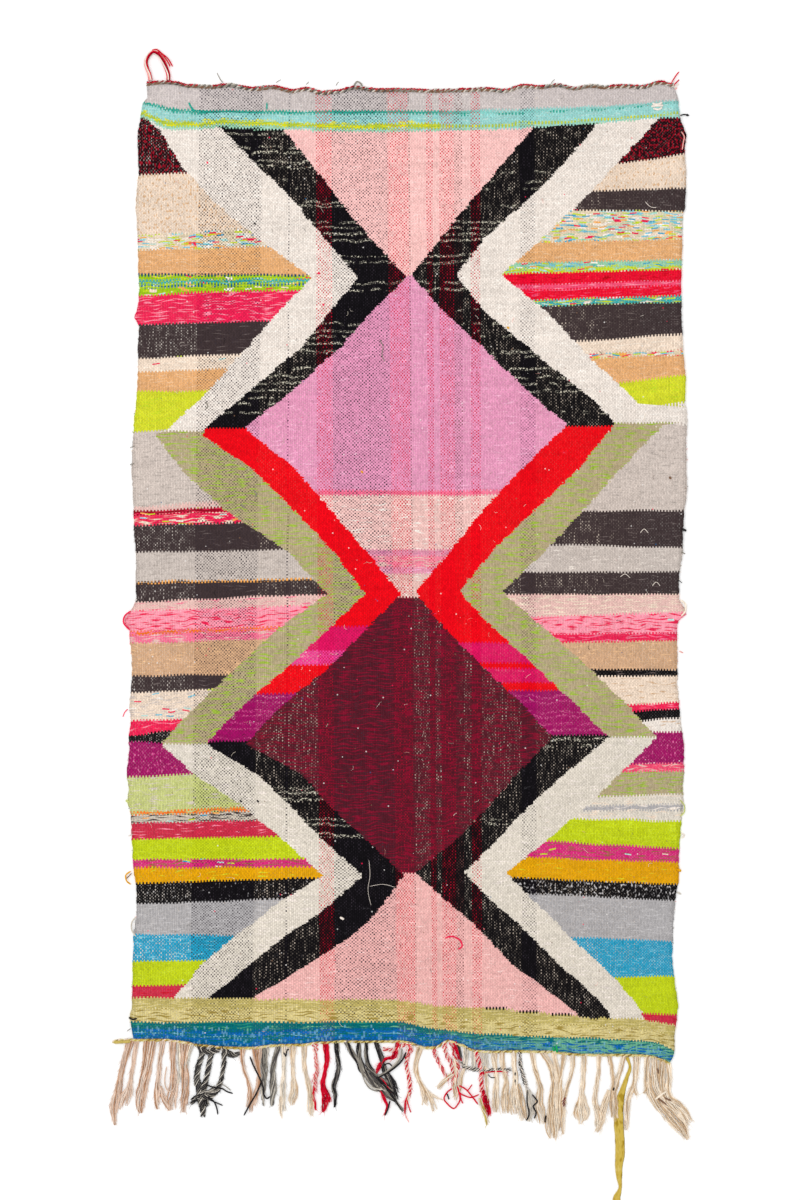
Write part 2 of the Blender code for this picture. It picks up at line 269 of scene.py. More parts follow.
# Yarns that lie free are curves with a round section, made into one mesh per piece
wools = {
    "rose": {"yarns": ("woolRose", "woolRosePale", "woolRose", "woolRoseDeep"), "count": 1.35, "turn": 0.03},
    "sand": {"yarns": ("woolSand", "woolSandPale", "woolSand", "woolSandDeep"), "count": 1.35, "turn": 0.03},
    "ash": {"yarns": ("woolAsh", "woolAsh", "woolSandPale"), "count": 1.3, "turn": 0.03},
    "grey": {"yarns": ("woolGrey", "woolSlate", "woolGrey", "woolAsh"), "count": 1.8, "turn": 0.10},
    "black": {"yarns": ("woolBlack", "woolSlate", "woolBlack", "woolAsh", "woolBlack", "woolGrey"),
              "count": 2.0, "turn": 0.34},
    "tangle": {"yarns": ("woolBlack", "woolSlate", "woolBlack", "woolGrey"), "count": 1.8, "turn": 0.09},
    "blackWhite": {"yarns": ("woolBlack", "woolAsh", "woolBlack", "woolWhite"), "count": 1.4,
                   "turn": 0.75},
    "red": {"yarns": ("woolRed", "woolRed", "woolRedDeep"), "count": 1.4, "turn": 0.12},
    "redWhite": {"yarns": ("woolRed", "woolWhite", "woolPink"), "count": 1.1, "turn": 0.62},
    "plum": {"yarns": ("woolPlum",), "count": 1.3, "turn": 0.5},
    "straw": {"yarns": ("gold", "woolSand"), "count": 1.4, "turn": 0.10},
}
woolNames = ("woolRose", "woolRosePale", "woolRoseDeep", "woolSand", "woolSandPale", "woolSandDeep",
             "woolAsh", "woolGrey", "woolBlack", "woolSlate", "woolWhite", "woolRed", "woolRedDeep",
             "woolPink", "woolPlum", "gold", "goldPale", "goldShade", "woolBrown", "tealLine", "pinkRed",
             "orangeYellow", "purple", "paleGreen", "cream", "green")
yarnMake = {"radius": 0.50, "base": 0.0031, "rise": 0.0017, "steps": 4, "hair": 0.13}


def paintWool(yarn):
    paint = Paint(yarn + "Yarn")
    x, y, z = paint.place()
    x, y, z = x / chart["square"], y / chart["square"], z / chart["square"]
    fibre = paint.smooth(x / 0.55, y / 1.8, z / 0.8, 1.0) - 0.5
    patch = paint.smooth(x / 6, y / 10, 4.0) - 0.5
    shade = 1 + fibre * 0.75 + patch * 0.35
    colour = paint.node("ShaderNodeVectorMath", {"operation": "MULTIPLY"},
                        {0: linear(yarn), 1: paint.vector(shade, shade, shade)})
    lint = ((fibre * 5 - 0.9)).held() * 0.35
    paint.dye(paint.mix(lint, colour, paint.colour("woolWhite")))
    paint.relief(fibre, 0.0008, 0.5)
    return paint.cloth()


woolMaterials = [paintWool(yarn) for yarn in woolNames]


def newYarns(name):
    made = bpy.data.curves.new(name, "CURVE")
    made.dimensions = "3D"
    made.bevel_depth = 1.0
    made.bevel_resolution = 1
    made.use_fill_caps = True
    for material in woolMaterials:
        made.materials.append(material)
    return made


def layYarn(curve, places, radii, yarn):
    spline = curve.splines.new("POLY")
    spline.points.add(len(places) - 1)
    spline.points.foreach_set("co", [value for place in places for value in (*place, 1.0)])
    spline.points.foreach_set("radius", radii)
    spline.material_index = woolNames.index(yarn)


def finishYarns(curve):
    holder = bpy.data.objects.new(curve.name, curve)
    mesh = bpy.data.meshes.new_from_object(holder)
    bpy.data.objects.remove(holder)
    mesh.polygons.foreach_set("use_smooth", [True] * len(mesh.polygons))
    mesh.name = curve.name
    piece = bpy.data.objects.new(curve.name, mesh)
    bpy.context.scene.collection.objects.link(piece)
    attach(piece, "root")
    return piece


def sideways(points, i):
    # Unit step to the left of a route at one of its points
    ahead = points[min(i + 1, len(points) - 1)] - points[max(i - 1, 0)]
    length = hypot(ahead.x, ahead.y) or 1.0
    return ahead.y / length, -ahead.x / length


def layBundle(curve, wool, *route, base=None, radius=None):
    # A bundle of yarns along x, y and width on the chart, frayed at its end
    kind = wools[wool]
    seed = route[0][0] * 3.1 + route[-1][1] * 1.7
    random = Random(round(seed * 10))
    rows = [Vector(row) for row in route]
    if abs(rows[0].y - readLine(lowRow, rows[0].x)) < 9:
        rows[0].y = readLine(lowRow, rows[0].x) + 1.0
    points = smoothRoute(rows, yarnMake["steps"])
    base = base or yarnMake["base"]
    thick = radius or yarnMake["radius"]
    count = min(max(round(max(point.z for point in points) * kind["count"]), 2), 14)
    turn = kind["turn"] * random.choice((-1, 1))
    twisted = kind["turn"] > 0.2
    for i in range(count):
        yarn = kind["yarns"][i % len(kind["yarns"])] if twisted else random.choice(kind["yarns"])
        start = i / count * tau
        reach = 1.0 if twisted else random.uniform(0.1, 1.0) ** 0.5
        ending = len(points) - floor(random.random() ** 2 * 0.22 * len(points))
        places, radii = [], []
        travelled = 0.0
        for j in range(ending):
            point = points[j]
            if j:
                travelled += hypot(point.x - points[j - 1].x, point.y - points[j - 1].y)
            stepX, stepY = sideways(points, j)
            angle = start + turn * travelled
            wander = noise.noise(Vector((i * 3.7, travelled * 0.11, seed))) * 1.2
            across = cos(angle) * reach * max(point.z / 2 - thick * 0.6, 0.15) + wander
            up = sin(angle) * reach * yarnMake["rise"]
            fray = min(1.0, (ending - 1 - j) / 3)
            places.append(onRug(point.x + stepX * across, point.y + stepY * across, base + up))
            radii.append(thick * chart["square"] * (0.45 + 0.55 * fray))
        layYarn(curve, places, radii, yarn)
    # Loose fibres that stand off the bundle
    for _ in range(round(travelled / 3)):
        j = random.randrange(1, len(points) - 1)
        point = points[j]
        stepX, stepY = sideways(points, j)
        side = random.choice((-1, 1))
        reach, length = random.uniform(1.0, 3.0), random.uniform(3.0, 7.0)
        places = []
        for share in (0, 0.35, 0.7, 1):
            across = side * (point.z / 2 - 0.8 + reach * share ** 1.6)
            along = length * share
            places.append(onRug(point.x + stepX * across - stepY * along,
                                point.y + stepY * across + stepX * along, base + 0.0004))
        hair = yarnMake["hair"] * chart["square"]
        layYarn(curve, places, (hair, hair, hair * 0.8, hair * 0.5), kind["yarns"][0])


def layThread(curve, yarn, thick, *route, up=0.0030):
    # A single thread along x and y on the chart
    points = smoothRoute([Vector((*row, 0.0)) for row in route], yarnMake["steps"])
    radius = thick / 2 * chart["square"]
    radii = [radius] * len(points)
    radii[-1] = radii[0] = radius * 0.5
    layYarn(curve, [onRug(point.x, point.y, up) for point in points], radii, yarn)


# The corner loop: warp ends left long, turned back and knotted down at the corner
loopRoute = ((-0.566, 1.0763), (-0.569, 1.091), (-0.574, 1.104), (-0.576, 1.118), (-0.570, 1.131),
             (-0.559, 1.139), (-0.547, 1.132), (-0.538, 1.118), (-0.531, 1.102), (-0.527, 1.089),
             (-0.527, 1.077))
loop = {"diameter": 0.009, "height": 0.0048, "yarnRadius": 0.0015, "offset": 0.0030, "turn": 26.0,
        "yarns": ("woolRed", "woolWhite", "woolPink", "woolRed", "woolWhite", "woolRedDeep")}

loopCurve = newYarns("corner_loop_yarns")
loopPath = smoothRoute([Vector((x, y, loop["height"])) for x, y in loopRoute], 5)
loopLengths = [0.0]
for before, after in zip(loopPath, loopPath[1:]):
    loopLengths.append(loopLengths[-1] + (after - before).length)
for i, yarn in enumerate(loop["yarns"]):
    places = []
    for j, point in enumerate(loopPath):
        stepX, stepY = sideways(loopPath, j)
        angle = i / len(loop["yarns"]) * tau + loopLengths[j] * loop["turn"]
        across, up = cos(angle) * loop["offset"], sin(angle) * loop["offset"]
        places.append(point + Vector((stepX * across, stepY * across, up)))
    layYarn(loopCurve, places, [loop["yarnRadius"]] * len(places), yarn)
layYarn(loopCurve, loopPath, [loop["yarnRadius"]] * len(loopPath), "woolAsh")
cornerLoop = finishYarns(loopCurve)
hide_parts("corner_loop")
looseCurve = newYarns("corner_loop_end")
layThread(looseCurve, "woolRed", 1.3, (152, 51), (157, 50), (162, 54), (168, 59), (173, 67), up=0.0062)
layThread(looseCurve, "woolRed", 1.2, (154, 53), (160, 53), (165, 58), (169, 64), (170, 67), up=0.0058)
layThread(looseCurve, "woolPink", 1.1, (154, 52), (158, 51), (163, 56), (167, 62), (171, 66), up=0.0050)
layThread(looseCurve, "woolWhite", 1.0, (156, 55), (161, 58), (164, 63), (167, 67), up=0.0045)
loopEnd = finishYarns(looseCurve)
print("corner loop laid", round(loopLengths[-1], 4))

# Both zigzags on the chart: row, then the outer, middle and inner edge of the bands
leftZigzag = (
    (118, 146, 208, 270), (130, 159, 222, 283), (165, 181, 257, 312), (200, 212, 293, 339),
    (238, 257, 324, 370), (278, 312, 358, 407), (312, 279, 330, 372), (350, 245, 299, 338),
    (390, 209, 250, 293), (429, 169, 205, 244), (434, 155, 201, 252), (470, 181, 253, 296),
    (510, 225, 294, 331), (550, 286, 332, 365), (594, 327, 365, 401), (630, 277, 328, 366),
    (670, 234, 284, 326), (705, 197, 243, 282), (744, 161, 206, 246), (775, 195, 258, 303),
    (805, 242, 290, 329), (840, 284, 323, 367), (875, 323, 363, 404), (905, 275, 330, 383),
    (935, 236, 286, 353), (965, 201, 249, 307), (998, 174, 208, 252),
)
rightZigzag = (
    (118, 659, 602, 541), (130, 648, 592, 531), (165, 616, 563, 502), (200, 583, 528, 472),
    (238, 543, 485, 441), (275, 501, 456, 411), (312, 547, 485, 444), (350, 582, 531, 485),
    (390, 624, 580, 526), (405, 638, 598, 542), (408, 700, 601, 546), (421, 700, 614, 564),
    (424, 664, 615, 568), (470, 619, 577, 520), (510, 584, 535, 483), (550, 546, 493, 451),
    (592, 502, 459, 415), (630, 547, 496, 447), (670, 591, 539, 486), (705, 627, 576, 523),
    (737, 657, 609, 553), (775, 618, 563, 515), (805, 588, 530, 490), (840, 547, 497, 456),
    (873, 506, 464, 415), (905, 539, 497, 452), (935, 568, 530, 485), (965, 602, 560, 513),
    (998, 632, 597, 558), (1018, 646, 613, 583),
)


def withShares(stripes):
    # A stripe that names no share of mixed rags has none
    return tuple((*row, 0.0) if isinstance(row[-2], str) else row for row in stripes)


# Stripes beside the zigzags: first row at the inner end, first row at the selvedge, yarn,
# the yarn of its flecks, their share, and the share of mixed rag colours where there is one
leftStripes = withShares((
    (130, 118, "maroon", "maroonRed", 0.92), (174, 177, "ecru", "ecruShade", 0.88),
    (229, 236, "speckle", "cream", 0.4, 0.5), (247, 250, "tan", "tanPale", 0.3),
    (273, 273, "navy", "tan", 0.3), (275, 275, "lime", "limeBright", 0.4, 0.1),
    (279, 280, "turquoiseDeep", "lime", 0.35), (281, 282, "lime", "limeBright", 0.3, 0.15),
    (284, 286, "blue", "lime", 0.46), (286, 288, "lime", "limeBright", 0.3, 0.1),
    (290, 296, "pinkRed", "pinkLight", 0.34), (321, 325, "charcoal", "charcoalPale", 0.15),
    (354, 358, "ecru", "ecruPale", 0.3, 0.04), (369, 373, "tan", "tanPale", 0.25),
    (391, 391, "limeYellow", "limeBright", 0.3), (429, 432, "greyBeige", "greyShade", 0.25),
    (501, 507, "palePink", "greyBeige", 0.3), (506, 511, "maroonRed", "pinkRed", 0.3, 0.1),
    (511, 515, "pinkRed", "ecru", 0.4, 0.1), (521, 524, "charcoal", "charcoalPale", 0.12),
    (549, 552, "lightGrey", "greyShade", 0.25), (577.6, 580.6, "orangePale", "charcoal", 0.44),
    (579, 582, "charcoal", "charcoalPale", 0.12), (594, 602, "palePink", "streakPink", 0.2),
    (605, 610, "streakLight", "pinkRed", 0.42), (626, 631, "orange", "streakPink", 0.5),
    (629, 634, "streakPink", "palePink", 0.4), (639, 643, "tanGrey", "tanPale", 0.25),
    (674, 675, "charcoal", "charcoalPale", 0.12), (688, 692, "ecru", "greyBeige", 0.4, 0.08),
    (720, 721, "pinkRed", "pinkLight", 0.25), (730, 736, "black", "blackPale", 0.1),
    (742, 740, "purple", "purplePale", 0.76), (773, 776, "paleGreen", "heatherPale", 0.3),
    (807, 812, "orange", "paleGreen", 0.45), (810, 815, "heatherPale", "charcoal", 0.47, 0.04),
    (819, 822, "redLow", "pinkLight", 0.2), (836, 839, "limeLow", "limeBright", 0.3),
    (858, 859, "mixMagenta", "mixBrown", 0.4, 0.03), (865, 866, "orangeYellow", "limeYellow", 0.1),
    (877, 883, "black", "coolGreyPale", 0.6), (898, 904, "coolGrey", "coolGreyPale", 0.3),
    (935, 933, "skyBlue", "skyBluePale", 0.25), (959, 961, "limeLow", "limeBright", 0.2),
    (985, 985, "redLow", "redDeep", 0.25),
))
rightStripes = withShares((
    (118, 117, "maroon", "maroonRed", 0.95), (164, 154, "ecru", "ecruShade", 0.85),
    (190, 187, "charcoal", "charcoalPale", 0.12), (210, 211, "speckle", "mint", 0.35, 0.5),
    (242, 239, "tan", "tanPale", 0.3), (263, 260, "mint", "turquoiseDeep", 0.3, 0.25),
    (269, 265, "limeBright", "mint", 0.4, 0.15), (274, 269, "redRose", "redDeep", 0.3),
    (285, 280, "redPink", "pinkLight", 0.35), (290, 285, "redRose", "redPink", 0.25),
    (299, 295, "turquoiseDeep", "limeBright", 0.45, 0.1), (305, 301, "charcoal", "charcoalPale", 0.12),
    (340, 332, "ecru", "ecruPale", 0.3), (355, 351, "speckle", "pinkRed", 0.3, 0.5),
    (358, 354, "tan", "tanPale", 0.25), (383, 375, "limeYellow", "limeBright", 0.3),
    (407, 402, "cream", "creamPale", 0.3), (423, 425, "greyBeige", "greyShade", 0.22),
    (510, 509, "charcoal", "charcoalPale", 0.12), (545, 548, "lightGrey", "cream", 0.16),
    (571, 570, "charcoal", "charcoalPale", 0.14), (594, 594, "palePink", "ecru", 0.4),
    (617, 612, "streakLight", "pinkRed", 0.4, 0.03), (634, 632, "pinkRed", "streakPink", 0.4),
    (641, 639, "tanGrey", "tanPale", 0.22), (670, 670, "black", "charcoalPale", 0.15),
    (675, 675, "ecru", "ecruShade", 0.2), (705, 702, "pinkRed", "pinkLight", 0.35),
    (711, 708, "black", "blackPale", 0.12), (721, 718, "cream", "ecruShade", 0.2),
    (732, 732, "purple", "purplePale", 0.72), (764, 763, "redPink", "palePink", 0.36),
    (771, 770, "heatherGreen", "heatherLime", 0.4), (795, 793, "creamLow", "ecru", 0.3),
    (806, 805, "coolGrey", "cream", 0.4), (809, 808, "creamLow", "ecru", 0.3),
    (818, 821, "limeLow", "limeBright", 0.3), (840, 848, "mixMagenta", "mixBrown", 0.34, 0.03),
    (857, 862, "orangeYellow", "limeYellow", 0.1), (877, 884, "black", "coolGreyPale", 0.8),
    (893, 900, "coolGrey", "coolGreyPale", 0.25), (937, 942, "skyBlue", "skyBluePale", 0.18),
    (977, 976, "limeLow", "limeBright", 0.2), (1013, 1014, "redLow", "redDeep", 0.25),
))

# Fields and bands: first row, yarn, the yarn of its flecks, their share, share of mixed rags
middleField = withShares((
    (100, "pink", "pinkPale", 0.12), (276, "orchid", "orchidPale", 0.16),
    (491, "streakPink", "pinkRose", 0.4), (494, "creamPink", "creamPale", 0.22),
    (549, "mauve", "orchidDeep", 0.3), (556, "pinkRose", "palePink", 0.45),
    (566, "mauve", "orchidPale", 0.3), (573, "palePink", "cream", 0.25), (597, "plum", "plumRed", 0.45),
    (873, "pinkLow", "pinkPale", 0.12),
))
leftInnerBand = withShares((
    (100, "black", "lineCream", 0.1), (130, "black", "lineCream", 0.55), (138, "black", "lineCream", 0.15),
    (145, "black", "lineCream", 0.5), (168, "black", "lineCream", 0.15), (198, "black", "lineCream", 0.6),
    (246, "black", "lineCream", 0.2), (257, "black", "lineCream", 0.6), (293, "black", "lineCream", 0.15),
    (320, "black", "lineCream", 0.55), (352, "black", "lineCream", 0.15), (360, "black", "lineCream", 0.5),
    (415, "black", "lineCream", 0.1), (427, "red", "redDeep", 0.25), (627, "magenta", "magentaDeep", 0.3),
    (650, "magentaPale", "palePink", 0.42), (664, "red", "redDeep", 0.25),
    (694, "purple", "purplePale", 0.7), (741, "black", "blackPale", 0.1), (786, "black", "lineCream", 0.9),
    (801, "black", "blackPale", 0.2), (818, "black", "lineCream", 0.95), (838, "black", "blackPale", 0.25),
))
rightInnerBand = withShares((
    (100, "black", "lineCream", 0.1), (160, "black", "lineCream", 0.35), (208, "black", "lineCream", 0.55),
    (300, "black", "lineCream", 0.3), (345, "black", "lineCream", 0.5), (395, "black", "lineCream", 0.3),
    (425, "red", "redPink", 0.12), (643, "magenta", "magentaDeep", 0.3), (662, "red", "redDeep", 0.3),
    (667, "magenta", "streakPink", 0.25), (681, "red", "redDeep", 0.25), (690, "purple", "purplePale", 0.7),
    (734, "black", "lineCream", 0.45), (751, "black", "blackPale", 0.2), (818, "black", "lineCream", 0.4),
    (835, "black", "blackPale", 0.25),
))
leftOuterBand = withShares((
    (100, "cream", "creamPale", 0.3), (431, "heatherGreen", "heatherLime", 0.4),
    (743, "creamLow", "cream", 0.3),
))
rightOuterBand = withShares((
    (100, "cream", "creamPale", 0.3), (423, "heatherGreen", "heatherLime", 0.4),
    (737, "creamLow", "cream", 0.3),
))
# Borders at both ends, in rows of their own that follow the ends' sway
borders = withShares((
    (80, "lavenderGrey", "lavenderPale", 0.25), (110, "tealLine", "turquoise", 0.12),
    (113.4, "turquoise", "turquoisePale", 0.3), (122.6, "yellowGreen", "turquoise", 0.5),
    (124, "yellowGreen", "brightYellow", 0.42), (127.4, "mint", "turquoisePale", 0.4),
    (131, "pink", "pink", 0.0), (1000, "straw", "strawPale", 0.45), (1009, "strawPale", "strawDeep", 0.42),
    (1022, "teal", "tealGreen", 0.3), (1028, "teal", "seaGreen", 0.4), (1031, "blue", "teal", 0.48),
    (1034, "blueBright", "teal", 0.5), (1038, "teal", "bluePale", 0.42), (1041, "blueBright", "teal", 0.5),
    (1046, "blue", "blueBright", 0.48),
))
patternTop = ((143, 118), (165, 129.5), (200, 130), (217, 127.5), (250, 129.5), (340, 132),
              (415, 131.5), (480, 130.5), (522, 128), (604, 123), (640, 119.5), (680, 117.5))
yellowLine = ((143, 112), (165, 124), (200, 124.5), (225, 120.5), (280, 123.5), (340, 126.5),
              (400, 125), (480, 127), (522, 124.5), (604, 120), (680, 113.5))
tealRow = ((147, 104), (170, 109.5), (192, 111.6), (314, 112.5), (420, 112.5), (461, 113),
           (522, 111.6), (604, 108.6), (675, 102.4))
patternEnd = ((132, 997), (400, 1000), (440, 1006), (487, 1007), (578, 1016), (613, 1018),
              (645, 1019), (660, 1021.5), (676, 1025))
strawEnd = ((132, 1022), (400, 1021), (440, 1030), (479, 1034), (538, 1036), (598, 1038),
            (657, 1042), (674, 1050))

# Warp ends: column at the top of the chart, yarn, and how strongly their dots show
warpStripes = (
    (100, "warpCream", 0.17), (199, "warpGrey", 0.50), (263, "warpBeige", 0.18),
    (288, "warpGrey", 0.56), (290, "warpBeige", 0.16), (315, "warpRed", 0.62),
    (331, "warpGrey", 0.54), (366, "warpDark", 0.90), (368, "warpGrey", 0.50),
    (386, "warpRed", 0.66), (407, "warpBrown", 0.70), (409, "warpBeige", 0.16),
    (425, "warpRed", 0.62), (431, "warpBeige", 0.15), (438, "warpRed", 0.58),
    (453, "warpBrown", 0.50), (461, "warpBeige", 0.15), (470, "warpRed", 0.54),
    (479, "warpBeige", 0.14), (519, "warpGrey", 0.36), (534, "warpBeige", 0.15),
    (640, "warpWhite", 0.12),
)
# How the warp drifts: column at the top, and the same warp's column at the foot
warpDrift = ((142, 131), (204, 195), (269, 258), (315, 320), (331, 334), (386, 397),
             (407, 415), (425, 432), (438, 442), (470, 472), (519, 522), (640, 640), (681, 674))
# Rows of the borders where the pattern, the straw, the blue and its stitches begin or end
endRows = {"pattern": 131, "straw": 1000, "blue": 1022, "greener": 1024, "stitched": 1028}
weave = {"warp": 1.65, "pick": 1.6, "driftTop": 90, "driftFoot": 1040, "lineRows": 6.8, "lineThick": 1.6,
         "thickness": 0.0038, "ripple": 0.0022, "columns": 96, "rows": 320}


# The cloth's sides, read from the solid that it replaces
clothPoints = {(round(v.co.x, 5), round(v.co.y, 5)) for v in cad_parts["rug_cloth"].data.vertices}
topEdge = sorted(p for p in clothPoints if p[1] > 1.04)
lowEdge = sorted(p for p in clothPoints if p[1] < -1.02 and p[0] < 0.578)
leftSide = sorted((y, x) for x, y in clothPoints if x < -0.55 and abs(y) < 1.038)
leftSide = [(lowEdge[0][1], lowEdge[0][0]), *leftSide, (topEdge[0][1], topEdge[0][0])]
rightSide = sorted((y, x) for x, y in clothPoints if x > 0.578 and y < 1.04)
rightSide = [(lowEdge[-1][1], lowEdge[-1][0]), *rightSide, (topEdge[-1][1], topEdge[-1][0])]


def blendNumbers(first, second, share):
    return first + (second - first) * share


def clothPoint(across, down):
    # Place on the cloth of a point of the unit square, down from its top left corner
    leftY = blendNumbers(leftSide[-1][0], leftSide[0][0], down)
    rightY = blendNumbers(rightSide[-1][0], rightSide[0][0], down)
    x = blendNumbers(readLine(leftSide, leftY), readLine(rightSide, rightY), across)
    y = blendNumbers(leftY, rightY, across)
    topSway = readLine(topEdge, x) - blendNumbers(leftSide[-1][0], rightSide[-1][0], across)
    lowSway = readLine(lowEdge, x) - blendNumbers(leftSide[0][0], rightSide[0][0], across)
    y += topSway * max(0.0, 1 - down / 0.08) + lowSway * max(0.0, 1 - (1 - down) / 0.08)
    return Vector((x, y, 0.0))


def ripple(x, y):
    # Height of the cloth's slight lift off the floor
    broad = noise.noise(Vector((x * 3.1, y * 2.3, 0.4)))
    small = noise.noise(Vector((x * 11.0, y * 8.0, 5.2)))
    return weave["ripple"] * max(0.0, 0.4 + 0.8 * broad + 0.35 * small)


leftRows = sorted((row[1], row[0]) for row in leftStripes)
rightRows = sorted((row[1], row[0]) for row in rightStripes)


def rowShift(rows, y):
    held = min(max(y, rows[0][0]), rows[-1][0])
    return readLine(rows, held) - held


@lru_cache(None)
def warpsAt(y):
    share = (y - weave["driftTop"]) / (weave["driftFoot"] - weave["driftTop"])
    return [(blendNumbers(top, foot, share), top) for top, foot in warpDrift]


@lru_cache(None)
def edgesAt(y):
    # The zigzags' edges in a row, and how far the side stripes' rows are off their inner ends
    left = [readLine(leftZigzag, y, column) for column in (1, 2, 3)]
    right = [readLine(rightZigzag, y, column) for column in (1, 2, 3)]
    return left, right, rowShift(leftRows, y), rowShift(rightRows, y)


def warpColumn(x, y):
    columns = warpsAt(round(y))
    if x < columns[0][0]:
        return x - columns[0][0] + columns[0][1]
    if x > columns[-1][0]:
        return x - columns[-1][0] + columns[-1][1]
    return readLine(columns, x)


def borderRow(x, y, top, foot):
    start = readLine(patternTop, x)
    end = readLine(patternEnd, x)
    if y < start:
        lines = ((top, 86), (readLine(tealRow, x), 112), (readLine(yellowLine, x), 125), (start, 131))
    elif y > end:
        lines = ((end, 1000), (readLine(strawEnd, x), 1022), (foot, 1050))
    else:
        lines = ((start, 131), (start + 20, 151), (end - 20, 980), (end, 1000))
    return readLine(lines, y)


def chartWeave(mesh):
    # Gives each point its warp, pick and border row, and the zigzags' edges beside it
    woven, left, right = [], [], []
    for vert in mesh.vertices:
        x, y = onChart(vert.co)
        top = chart["middleY"] - readLine(topEdge, vert.co.x) / chart["square"]
        foot = chart["middleY"] - readLine(lowEdge, vert.co.x) / chart["square"]
        leftEdges, rightEdges, leftShift, rightShift = edgesAt(round(y, 1))
        leftShare = min(max((leftEdges[0] - x) / (leftEdges[0] - 132), 0.0), 1.0)
        rightShare = min(max((x - rightEdges[0]) / max(682 - rightEdges[0], 4), 0.0), 1.0)
        pick = y + leftShift * leftShare + rightShift * rightShare
        woven += [warpColumn(x, y), pick, borderRow(x, y, top, foot)]
        left += leftEdges
        right += rightEdges
    for name, values in (("weave", woven), ("leftEdges", left), ("rightEdges", right)):
        layer = mesh.attributes.new(name, "FLOAT_VECTOR", "POINT")
        layer.data.foreach_set("vector", values)


def stripeRamps(paint, row, stripes, span=230):
    # Yarn, share of flecks, fleck yarn and share of mixed rags, by row. A ramp is read in
    # 256 steps, so each takes only the stripes that begin within a few hundred rows.
    groups = []
    for stripe in stripes:
        if not groups or stripe[0] >= groups[-1][0][0] + span:
            groups.append([])
        groups[-1].append(stripe)
    result = None
    for group in groups:
        first = group[0][0]
        made = []
        for name, share in ((-4, -2), (-3, -1)):
            stops = [((stripe[0] - first) / span, (*linear(stripe[name]), stripe[share]))
                     for stripe in group]
            if len(stops) == 1:
                made += [(*linear(group[0][name]), 1.0), group[0][share]]
            else:
                ramp = paint.node("ShaderNodeValToRGB", {"stops": stops}, {0: (row - first) / span})
                made += [ramp, Wire(paint, ramp.socket.node.outputs[1])]
        if result is None:
            result = made
        else:
            below = row > first
            result = [paint.mix(below, result[0], made[0]),
                      result[1] + (made[1] - result[1]) * below,
                      paint.mix(below, result[2], made[2]),
                      result[3] + (made[3] - result[3]) * below]
    return result


